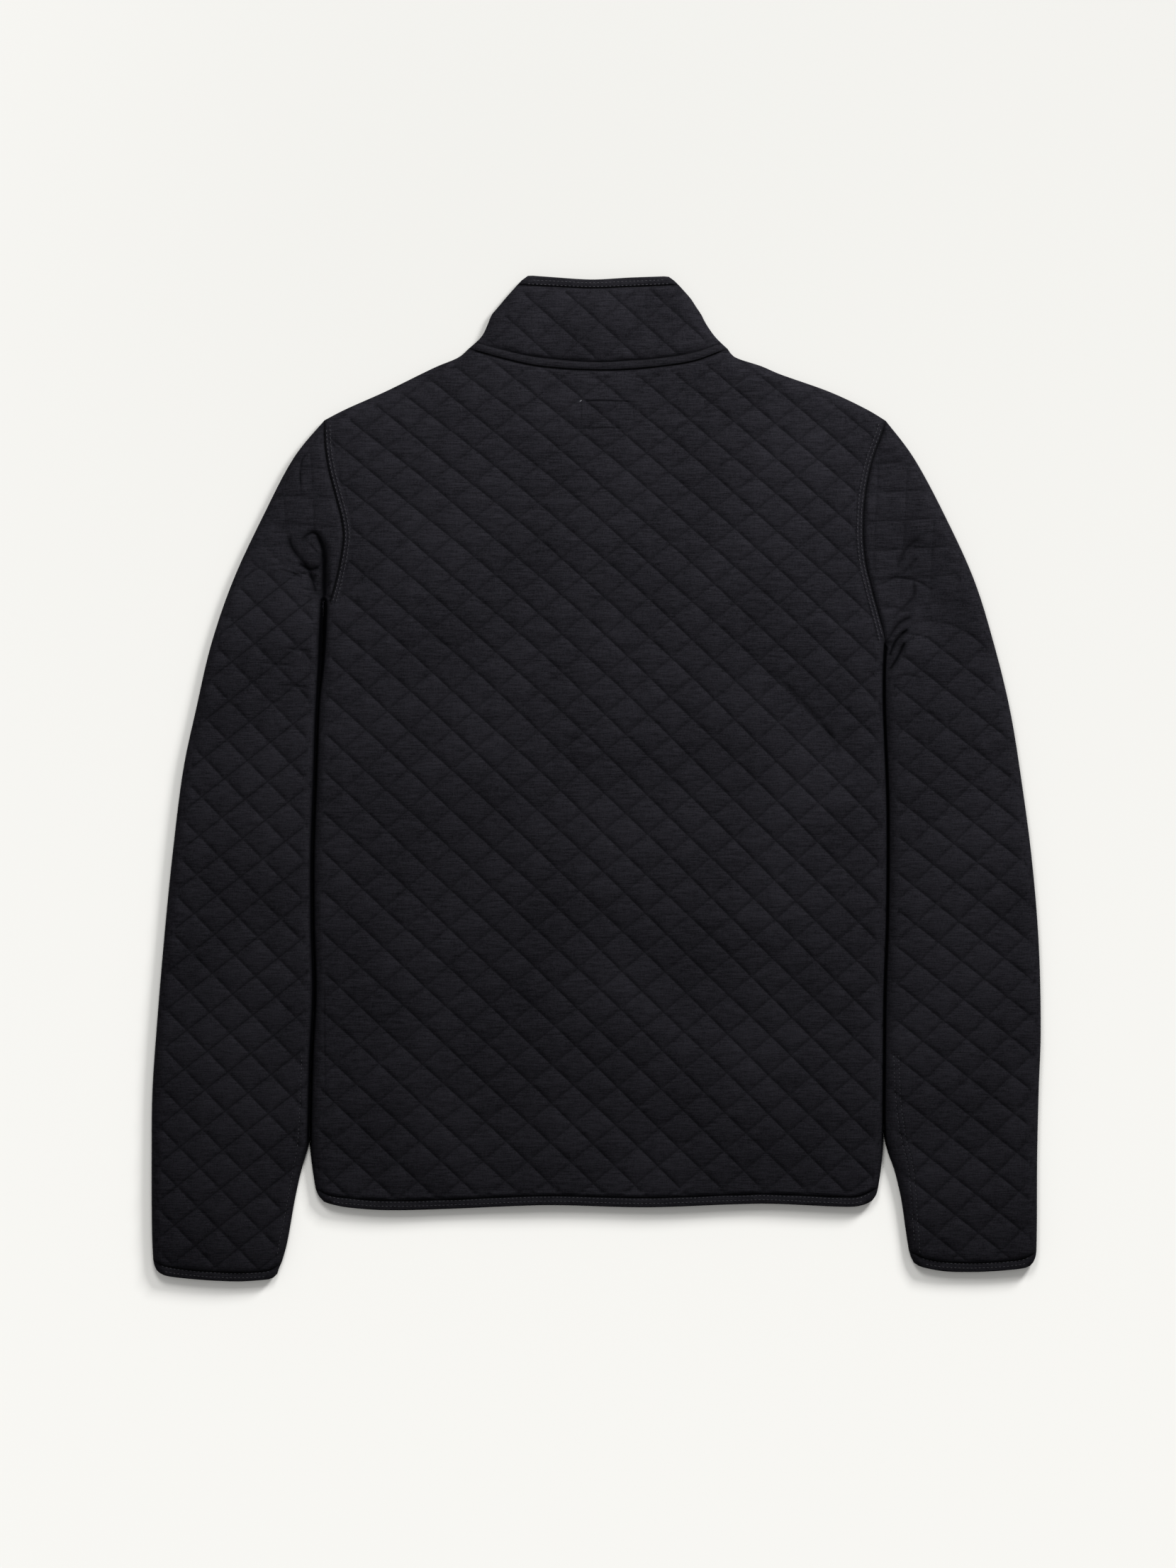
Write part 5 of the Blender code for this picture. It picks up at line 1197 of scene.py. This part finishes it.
# %% Neck strip
STRIP_START = 0.5
STRIP_WIDE = 6.0
STRIP_HIGH = 1.3
STRIP_STEP = 3.0
STRIP_ACROSS = 12
STRIP_ENDS = 4.0
STRIP_TOP, STRIP_UNDER = 0.15, 0.1
STRIP_FLATNESS, STRIP_FULLNESS = 3, 0.6
STRIP_STITCHES, STITCH_DEEP, STITCH_WIDE = (0.17, 0.83), 0.3, 0.07
STRIP_TAPER = (-1.0, 2.0)
STRIP_MERGE = 0.01


def neck_strip():
    """The corners and faces of the strip, as rings round it from one end to the other."""
    seam = evenly(neck[::-1], STRIP_STEP)
    seam = seam[distance(seam, [collar_left, collar_right]) > STRIP_ENDS]
    across = np.linspace(0, 1, STRIP_ACROSS + 1)
    arch = (1 - np.abs(2 * across - 1) ** STRIP_FLATNESS) ** STRIP_FULLNESS
    dents = STITCH_DEEP * sum(bell(across - row, STITCH_WIDE) for row in STRIP_STITCHES)
    rings = []
    for i, up in enumerate(normals(seam)):
        points = seam[i] + up * (STRIP_START + STRIP_WIDE * across)[:, None]
        base = collar_wall.outer(points) + SEAM_DIP * bell(distance(points, [seam]), SEAM_DIP_WIDE, 1)
        full = ramp(min(i, len(seam) - 1 - i), *STRIP_TAPER)
        top = base + STRIP_TOP + (STRIP_HIGH * arch - dents) * full
        rings.append(np.concatenate([np.column_stack([points, top]),
                                     np.column_stack([points[::-1], base[::-1] + STRIP_UNDER])]))
    count = len(rings[0])
    corners = np.concatenate(rings)
    faces = []
    for start in range(0, len(corners) - count, count):
        for k in range(count):
            a, b = start + k, start + (k + 1) % count
            faces.append([a, b, b + count, a + count])
    faces += [list(range(count)), [len(corners) - count + k for k in range(count)][::-1]]
    return corners, faces


neck_mesh = mesh_of("neck_strip", *neck_strip())
mended(neck_mesh, STRIP_MERGE)
neck_piece = piece_of("neck_strip", neck_mesh, CLOTH_SHARP)
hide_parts("neck_band")
print("neck strip:", len(neck_mesh.polygons), "faces")

# %% [markdown]
# ## Stitches
# The hem, cuffs, collar edge and armholes are sewn down with two rows of thread, and the sleeves'
# underarm seams are covered the same way. A texture could draw the thread, but real stitches break up a
# seam's outline and its light. One stitch is a small spindle that dips into the cloth at both ends. It is
# laid out along each row, on the cloth's own height, and all of them make one piece.

# %% One row of stitches
STITCH_STEP = 3.3
STITCH_LONG = 2.5
THREAD_WIDE = 0.55
THREAD_HIGH = 0.36
STITCH_SIDES = 5
STITCH_CORNERS = 2 + 2 * STITCH_SIDES
STITCH_SHAPE = ((-0.5, -0.25), (-0.25, 0.1), (0.25, 0.1), (0.5, -0.25))


def stitched(line, wall):
    """The corners and faces of one row of stitches that lies on a wall."""
    line = evenly(line, STITCH_STEP)
    along = np.diff(line, axis=0)
    along /= np.linalg.norm(along, axis=1)[:, None]
    across = np.column_stack([-along[:, 1], along[:, 0]])
    middle = (line[:-1] + line[1:]) / 2
    places = [middle + along * (STITCH_LONG * share) for share, _ in STITCH_SHAPE]
    tops = [wall.outer(place) + high for place, (_, high) in zip(places, STITCH_SHAPE)]
    turn = np.arange(STITCH_SIDES) * 2 * pi / STITCH_SIDES + pi / 2
    corners, faces = [], []
    for i in range(len(middle)):
        start = len(corners)
        corners.append((*places[0][i], tops[0][i]))
        for k in (1, 2):
            for angle in turn:
                spot = places[k][i] + across[i] * (THREAD_WIDE / 2 * cos(angle))
                corners.append((*spot, tops[k][i] + THREAD_HIGH / 2 * sin(angle)))
        corners.append((*places[3][i], tops[3][i]))
        for k in range(STITCH_SIDES):
            a, b = start + 1 + k, start + 1 + (k + 1) % STITCH_SIDES
            c, d = a + STITCH_SIDES, b + STITCH_SIDES
            faces += [(start, b, a), (a, b, d, c), (c, d, start + STITCH_CORNERS - 1)]
    return corners, faces


print("one stitch has", STITCH_CORNERS, "corners")

# %% All the stitches
SIDE_MARGIN = 5.0
BINDING_STITCHES = (-0.9, -4.2)
COLLAR_STITCHES = (0.9, 4.0)
TACK = ((-13.9, 306.2), (-12.7, 307.2), (-11.5, 308.2))


def thread_piece(name, rows):
    """One piece of all the stitches in some rows."""
    corners, faces = [], []
    for line, wall in rows:
        line = line[distance(line, wall.rolled) > SIDE_MARGIN]
        row_corners, row_faces = stitched(line, wall)
        start = len(corners)
        corners += row_corners
        faces += [tuple(start + c for c in face) for face in row_faces]
    mesh = mesh_of(name, corners, faces)
    mended(mesh)
    print(name, len(corners) // STITCH_CORNERS, "stitches")
    return piece_of(name, mesh)


stitch_rows = []
for seam, wall, rows in ((hem, hem_wall, BINDING_STITCHES), (cuff_left, cuff_left_wall, BINDING_STITCHES),
                         (cuff_right, cuff_right_wall, BINDING_STITCHES),
                         (collar_seam, collar_top_wall, COLLAR_STITCHES),
                         (armhole_left, back_wall, ARMHOLE_ROWS), (armhole_right, back_wall, ARMHOLE_ROWS)):
    stitch_rows += [(offset(seam, row), wall) for row in rows]
for crease in COVERSTITCHES:
    side = "left" if crease.keys[0][0] < 0 else "right"
    stitch_rows.append((smooth(crease.keys), sleeve_walls[side]))
stitches = thread_piece("stitches", stitch_rows)
tack = thread_piece("label_tack", [(np.array(TACK), back_wall)])

# %% [markdown]
# ## Shader maths
# The finishes are written as sums. The class below wraps a socket, so that an expression such as
# `1 - mask` adds its Math nodes. Every other node comes from one method.

# %% A socket that can be reckoned with


class Term:
    """A socket's value. Operators on it add Math nodes to its material."""

    def __init__(self, finish, socket):
        self.finish, self.socket = finish, socket

    def reckon(self, operation, *values):
        """One Math node on some values."""
        return self.finish.node("ShaderNodeMath", {"operation": operation}, dict(enumerate(values)))

    def __add__(self, other):
        return self.reckon("ADD", self, other)

    def __sub__(self, other):
        return self.reckon("SUBTRACT", self, other)

    def __rsub__(self, other):
        return self.reckon("SUBTRACT", other, self)

    def __mul__(self, other):
        return self.reckon("MULTIPLY", self, other)

    def __truediv__(self, other):
        return self.reckon("DIVIDE", self, other)

    def __rtruediv__(self, other):
        return self.reckon("DIVIDE", other, self)

    __radd__ = __add__
    __rmul__ = __mul__


print("sums of sockets:", [name for name in vars(Term) if name.startswith("__r")])

# %% A finish
MIX_FACTOR, MIX_LOW, MIX_HIGH, MIX_RESULT = 0, 6, 7, 2


class Finish:
    """A material with a Principled shader, and a short way to add nodes to it."""

    def __init__(self, name, **constants):
        self.material = bpy.data.materials.new(name)
        self.material.use_nodes = True
        self.tree = self.material.node_tree
        self.shader = self.tree.nodes["Principled BSDF"]
        for socket, value in constants.items():
            self.shader.inputs[socket.replace("_", " ")].default_value = value

    def node(self, kind, settings, values, output=0):
        """Any node, from its type, its settings and what its sockets get."""
        made = self.tree.nodes.new(kind)
        for setting, value in settings.items():
            setattr(made, setting, value)
        for socket, value in values.items():
            self.feed(made.inputs[socket], value)
        return Term(self, made.outputs[output])

    def feed(self, socket, value):
        """Links a term to a socket, or sets the socket's own value."""
        if isinstance(value, Term):
            self.tree.links.new(value.socket, socket)
        else:
            socket.default_value = value

    def give(self, socket, value):
        """Feeds a socket of the Principled shader."""
        self.feed(self.shader.inputs[socket], value)

    def places(self, scale):
        """Object coordinates, scaled to so many repeats a metre."""
        where = self.node("ShaderNodeTexCoord", {}, {}, "Object")
        return self.node("ShaderNodeMapping", {}, {"Vector": where, "Scale": scale})

    def noise(self, scale, detail=2.0, roughness=0.5):
        """A noise with so many repeats a metre across, up and through."""
        return self.node("ShaderNodeTexNoise", {}, {"Vector": self.places(scale), "Scale": 1.0,
                                                    "Detail": detail, "Roughness": roughness})

    def blend(self, factor, low, high):
        """A colour between two colours."""
        return self.node("ShaderNodeMix", {"data_type": "RGBA"},
                         {MIX_FACTOR: factor, MIX_LOW: low, MIX_HIGH: high}, MIX_RESULT)

    def step(self, value, low, high):
        """0 below a low value and 1 above a high one."""
        return self.node("ShaderNodeMapRange", {}, {"Value": value, "From Min": low, "From Max": high})

    def bump(self, height, distance):
        """Lets a height bend the surface's normals, at half strength."""
        self.give("Normal", self.node("ShaderNodeBump", {}, {"Height": height, "Strength": 0.5,
                                                             "Distance": distance}, "Normal"))


def flecked(name, repeats, dark, light, detail=2.0, roughness=0.5, **constants):
    """A finish in flecks of two colours. It returns the finish and its flecks."""
    finish = Finish(name, **constants)
    flecks = finish.noise(repeats, detail, roughness)
    finish.give("Base Color", finish.blend(flecks, dark, light))
    return finish, flecks


def dress(finish, *pieces):
    """Gives pieces a finish in place of what they had."""
    for piece in pieces:
        piece.data.materials.clear()
        piece.data.materials.append(finish.material)
    print(finish.material.name, "on", [piece.name for piece in pieces])


print("a finish adds nodes by", [name for name in vars(Finish) if not name.startswith("_")])

# %% [markdown]
# ## The knitted finish
# Black double knit is never one flat black. Its yarn is slubbed, so fine streaks run across it, and the
# loops catch the light in rows. The streaks feed both the colour and the bump. The lines of the quilting
# are darker, partly of their own because they are pressed, and partly by painted shade because they lie
# deep: the painted shade blends in a deeper black, on seams, creases and valleys as well. In the deepest
# valleys a Mix Shader turns to a dull black, which is painted shade where no light reaches.

# %% Quilted knit and binding
KNIT_DARK, KNIT_LIGHT = (0.0029, 0.0028, 0.0036, 1), (0.0104, 0.0100, 0.0125, 1)
BINDING_DARK, BINDING_LIGHT = (0.0028, 0.0027, 0.0034, 1), (0.0087, 0.0084, 0.0104, 1)
# Painted shade: the colour that shaded places blend towards, and the dull black of the deepest painted shade.
PAINTED_SHADE_COLOR = (0.0011, 0.0011, 0.0015, 1)
PAINTED_SHADE_STRENGTH = 0.72
SHADE_BLACK = (0.0006, 0.0006, 0.0008, 1)
SHADE_FROM, SHADE_TO = 0.9, 1.4
SLUB, GRAIN, RIBS = (90.0, 1100.0, 300.0), (900.0, 900.0, 900.0), (1500.0, 160.0, 300.0)
BROAD = (9.0, 12.0, 9.0)
TONE_FROM, TONE_TO = 0.39, 0.61
YARN_HIGH = 0.0004


def knitted(name, dark, light):
    """A finish of slubbed jersey, with rows of loops."""
    finish = Finish(name, Roughness=0.95, Sheen_Weight=0.021, Sheen_Roughness=0.35, Specular_IOR_Level=0.02)
    slub = finish.noise(SLUB, 3.0, 0.6)
    grain = finish.noise(GRAIN, 2.0, 0.6)
    ribs = finish.noise(RIBS, 2.0, 0.6)
    broad = finish.noise(BROAD)
    tone = finish.step(slub * 0.42 + grain * 0.26 + ribs * 0.16 + broad * 0.16, TONE_FROM, TONE_TO)
    # Reads each point's painted shade, which blends the cloth's colour towards a deeper black.
    groove = finish.node("ShaderNodeAttribute", {"attribute_name": "groove"}, {}, "Fac")
    cloth = finish.blend(tone, dark, light)
    finish.give("Base Color", finish.blend(groove * PAINTED_SHADE_STRENGTH, cloth, PAINTED_SHADE_COLOR))
    finish.bump(slub * 0.5 + grain * 0.3 + ribs * 0.2, YARN_HIGH)
    # Where the most shade is painted, a Mix Shader swaps the knit for a dull black.
    shade = finish.step(groove, SHADE_FROM, SHADE_TO)
    painted_shade_bsdf = finish.node("ShaderNodeBsdfDiffuse", {}, {"Color": SHADE_BLACK})
    knit = Term(finish, finish.shader.outputs[0])
    surface = finish.node("ShaderNodeMixShader", {}, {0: shade, 1: knit, 2: painted_shade_bsdf})
    finish.feed(finish.tree.nodes["Material Output"].inputs["Surface"], surface)
    return finish


dress(knitted("quilted_knit", KNIT_DARK, KNIT_LIGHT), back, front, collar, *sleeves.values())
dress(knitted("binding_knit", BINDING_DARK, BINDING_LIGHT),
      hem_strip, cuff_strip_left, cuff_strip_right, collar_top, neck_piece)

# %% Thread
TWIST = (2500.0, 2500.0, 2500.0)
thread, _ = flecked("thread", TWIST, (0.0085, 0.0083, 0.0099, 1), (0.0255, 0.0248, 0.0298, 1),
                    Roughness=0.6, Specular_IOR_Level=0.15)
dress(thread, stitches)
pale_thread, _ = flecked("pale_thread", TWIST, (0.07, 0.07, 0.08, 1), (0.16, 0.16, 0.17, 1),
                         Roughness=0.6, Specular_IOR_Level=0.2)
dress(pale_thread, tack)

# %% [markdown]
# ## The zip, out of sight
# The zip is on the side that lies on the surface. Its tapes, slider and pull tab are the solids'
# own shapes, with a woven finish and a dark metal one. The chain's bar gives way to real teeth: one
# is modelled from a cube, with a wider head that grips the next, and copied down both rows.

# %% One tooth
TOOTH_STEP = 2.6
TOOTH_HALF = 2.3
TOOTH_PAST = 0.75
TOOTH_HIGH = 1.6
TOOTH_THICK = 1.05
HEAD_LONG = 0.5
HEAD_SHAPE = (1.0, 1.35, 0.8)
TOOTH_BEVEL = 0.22
ZIP_THICK = 1.0
ZIP_ABOVE = 0.3


def lifted_at(up):
    """The height of the teeth's undersides along the zip."""
    hill_there = hill(FRONT_COLLAR_LIFT)(np.array([[0.0, up]]))[0]
    return LOW_TOP + ZIP_ABOVE + hill_there + ZIP_THICK / 2 - TOOTH_HIGH / 2


bpy.ops.object.select_all(action="DESELECT")
bpy.ops.mesh.primitive_cube_add(size=1.0, location=(0, 0, 0))
tooth = bpy.context.object
tooth.scale = ((TOOTH_HALF + TOOTH_PAST) * MM, TOOTH_THICK * MM, TOOTH_HIGH * MM)
bpy.ops.object.transform_apply(location=False, rotation=False, scale=True)
bpy.ops.object.mode_set(mode="EDIT")
bm = bmesh.from_edit_mesh(tooth.data)
for face in bm.faces:
    face.select = face.normal.x < -0.9
bmesh.update_edit_mesh(tooth.data)
bpy.ops.mesh.extrude_region_move(TRANSFORM_OT_translate={"value": (-HEAD_LONG * MM, 0, 0)})
bpy.ops.transform.resize(value=HEAD_SHAPE)
bpy.ops.mesh.select_all(action="SELECT")
bpy.ops.mesh.bevel(offset=TOOTH_BEVEL * MM, segments=2, affect="EDGES")
bpy.ops.object.mode_set(mode="OBJECT")
print("one tooth:", len(tooth.data.polygons), "faces,", [round(d / MM, 2) for d in tooth.dimensions], "mm")

# %% Two rows of teeth
TOOTH_SHARP = 40
chain_low, chain_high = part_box("zip_chain")
zip_from, zip_to = chain_low[1] / MM + TOOTH_THICK, chain_high[1] / MM - TOOTH_THICK
tooth_corners = np.array([v.co for v in tooth.data.vertices]) / MM
tooth_corners[:, 0] -= tooth_corners[:, 0].max()
tooth_faces = [tuple(p.vertices) for p in tooth.data.polygons]
teeth_corners, teeth_faces = [], []
tooth_places = np.arange(zip_from, zip_to, TOOTH_STEP / 2)
for i, up in enumerate(tooth_places):
    hand = 1 if i % 2 else -1
    moved = tooth_corners.copy()
    moved[:, 0] = hand * (moved[:, 0] + TOOTH_HALF)
    moved[:, 1] += up
    moved[:, 2] += lifted_at(up) + TOOTH_HIGH / 2
    start = len(teeth_corners)
    teeth_corners.extend(moved)
    teeth_faces += [tuple(start + c for c in (face if hand > 0 else face[::-1])) for face in tooth_faces]
bpy.data.objects.remove(tooth)
teeth_mesh = mesh_of("zip_teeth_rows", teeth_corners, teeth_faces)
teeth_rows = piece_of("zip_teeth_rows", teeth_mesh, TOOTH_SHARP)
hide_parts("zip_chain")
print("teeth:", len(tooth_places), "faces:", len(teeth_faces))

# %% Woven tape, dark metal and moulded teeth
WEAVE, SCUFFS, SPECKS = (1600.0, 700.0, 400.0), (900.0, 900.0, 900.0), (1200.0, 1200.0, 1200.0)
WEAVE_HIGH = 0.0002
woven, weave = flecked("woven_tape", WEAVE, (0.005, 0.005, 0.006, 1), (0.012, 0.012, 0.013, 1),
                       roughness=0.6, Roughness=0.85, Sheen_Weight=0.02, Specular_IOR_Level=0.1)
woven.bump(weave, WEAVE_HIGH)
metal, scuffs = flecked("dark_metal", SCUFFS, (0.016, 0.016, 0.018, 1), (0.04, 0.04, 0.043, 1),
                        detail=3.0, roughness=0.6, Metallic=0.9)
metal.give("Roughness", scuffs * 0.25 + 0.3)
teeth, _ = flecked("moulded_teeth", SPECKS, (0.008, 0.008, 0.009, 1), (0.015, 0.015, 0.016, 1),
                   Roughness=0.5, Specular_IOR_Level=0.3)
dress(teeth, teeth_rows)
dress(woven, nodes["zip_tape_left"], nodes["zip_tape_right"])
dress(metal, nodes["zip_slider"], nodes["zip_pull_tab"])

# A tube's cut goes all round it.

# %% The sheets' sizes
STRIP_SHOWN = 7.5
STRIP_CUT = 10.0


def declare(piece, cut, flat):
    """Prints a sheet's flat size in metres and the area of its cut, which is given in mm2."""
    cut * MM * MM
    print(piece.name, "cut", [round(s, 4) for s in flat], "m,", round(cut * MM * MM, 4), "m2")


def declare_panel(piece, cut, layers=1):
    """Prints a panel's flat size from the box of its cut; a tube of two layers counts twice as wide."""
    corners = np.array([v.co for v in piece.data.vertices])
    wide, long, _ = corners.max(0) - corners.min(0)
    declare(piece, cut, (float(wide) * layers, float(long)))


declare_panel(front, front_cut)
declare_panel(back, back_cut)
declare_panel(sleeves["left"], sleeve_cuts["left"], layers=2)
declare_panel(sleeves["right"], sleeve_cuts["right"], layers=2)
declare_panel(collar, collar_cut, layers=2)
for strip, cut in ((hem_strip, hem_cut), (cuff_strip_left, cuff_left_cut),
                   (cuff_strip_right, cuff_right_cut), (collar_top, collar_top_cut)):
    declare(strip, cut, (cut / STRIP_SHOWN * MM, STRIP_CUT * MM))

# %% [markdown]
# ## Floor, light and camera
# The garment was photographed from straight above on an off-white surface. A soft key light stands low
# beyond the upper right corner, so the shadow falls to the lower left. A weaker lamp above the collar
# brightens the shoulders, and the room's light fills the rest.

# %% Lights
bpy.context.scene.view_settings.view_transform = "Standard"
ROOM_LIGHT = 0.47
Lamp = namedtuple("Lamp", "name watts size place target")
KEY = Lamp("key", 64.0, 0.5, (1.15, 1.30, 0.85), (0.0, 0.2, 0.0))
TOP = Lamp("top", 11.5, 0.5, (-0.15, 0.70, 0.90), (0.0, 0.25, 0.0))
world = bpy.data.worlds.new("room")
bpy.context.scene.world = world
world.use_nodes = True
world.node_tree.nodes["Background"].inputs["Color"].default_value = (1.0, 1.0, 1.0, 1)
world.node_tree.nodes["Background"].inputs["Strength"].default_value = ROOM_LIGHT
for lamp in (KEY, TOP):
    light = bpy.data.lights.new(lamp.name, "AREA")
    light.energy, light.size = lamp.watts, lamp.size
    holder = bpy.data.objects.new(lamp.name, light)
    holder.location = lamp.place
    holder.rotation_mode = "QUATERNION"
    holder.rotation_quaternion = (Vector(lamp.target) - Vector(lamp.place)).to_track_quat("-Z", "Y")
    bpy.context.scene.collection.objects.link(holder)
    print(lamp.name, "light", [round(c, 2) for c in holder.location])

# %% [markdown]
# The lamps are near, so their light falls off towards the hem, as in the photograph. The photograph's
# surface is the same off-white all over, though. So this floor is toned against the falloff: its colour
# is the wanted brightness divided by the light that reaches the place.

# %% Floor
FLOOR_BRIGHT = 0.94
FLOOR_SIZE = 9.0
FLOOR_BELOW = 0.0002
BLACK, OFF_WHITE = (0, 0, 0, 1), (1.0, 0.992, 0.957, 1)
bpy.ops.object.select_all(action="DESELECT")
bpy.ops.mesh.primitive_plane_add(size=FLOOR_SIZE, location=(0, 0, -FLOOR_BELOW))
floor = bpy.context.object
floor.name = "floor"
pale = Finish("pale_floor", Roughness=1.0, Specular_IOR_Level=0.0)
floor_place = pale.node("ShaderNodeTexCoord", {}, {}, "Object")
floor_x, floor_y = (pale.node("ShaderNodeSeparateXYZ", {}, {0: floor_place}, axis) for axis in "XY")


def lit_by(lamp):
    """The light of a lamp on the floor, where white would be 1."""
    aim = (Vector(lamp.target) - Vector(lamp.place)).normalized()
    x, y, up = floor_x - lamp.place[0], floor_y - lamp.place[1], lamp.place[2]
    squared = x * x + y * y + up * up
    facing = x * aim.x + y * aim.y - up * aim.z
    return facing * (lamp.watts * up / pi ** 2) / (squared * squared)


pale.give("Base Color", pale.blend(FLOOR_BRIGHT / (lit_by(KEY) + lit_by(TOP) + ROOM_LIGHT), BLACK, OFF_WHITE))
dress(pale, floor)

# %% Camera
PIXEL = 0.578 * MM
FRAME_WIDE, FRAME_HIGH = 1659, 2212
MIDDLE = (-6.7 * MM, -4.6 * MM)
CAMERA_UP = 2.6
camera_data = bpy.data.cameras.new("camera")
camera = bpy.data.objects.new("camera", camera_data)
camera.location = (*MIDDLE, CAMERA_UP)
camera_data.lens = camera_data.sensor_width * (CAMERA_UP - HALF_HEIGHT * MM) / (FRAME_HIGH * PIXEL)
bpy.context.scene.collection.objects.link(camera)
bpy.context.scene.camera = camera
print("lens", round(camera_data.lens, 1), "mm; the frame is", round(FRAME_WIDE * PIXEL, 3), "m wide")
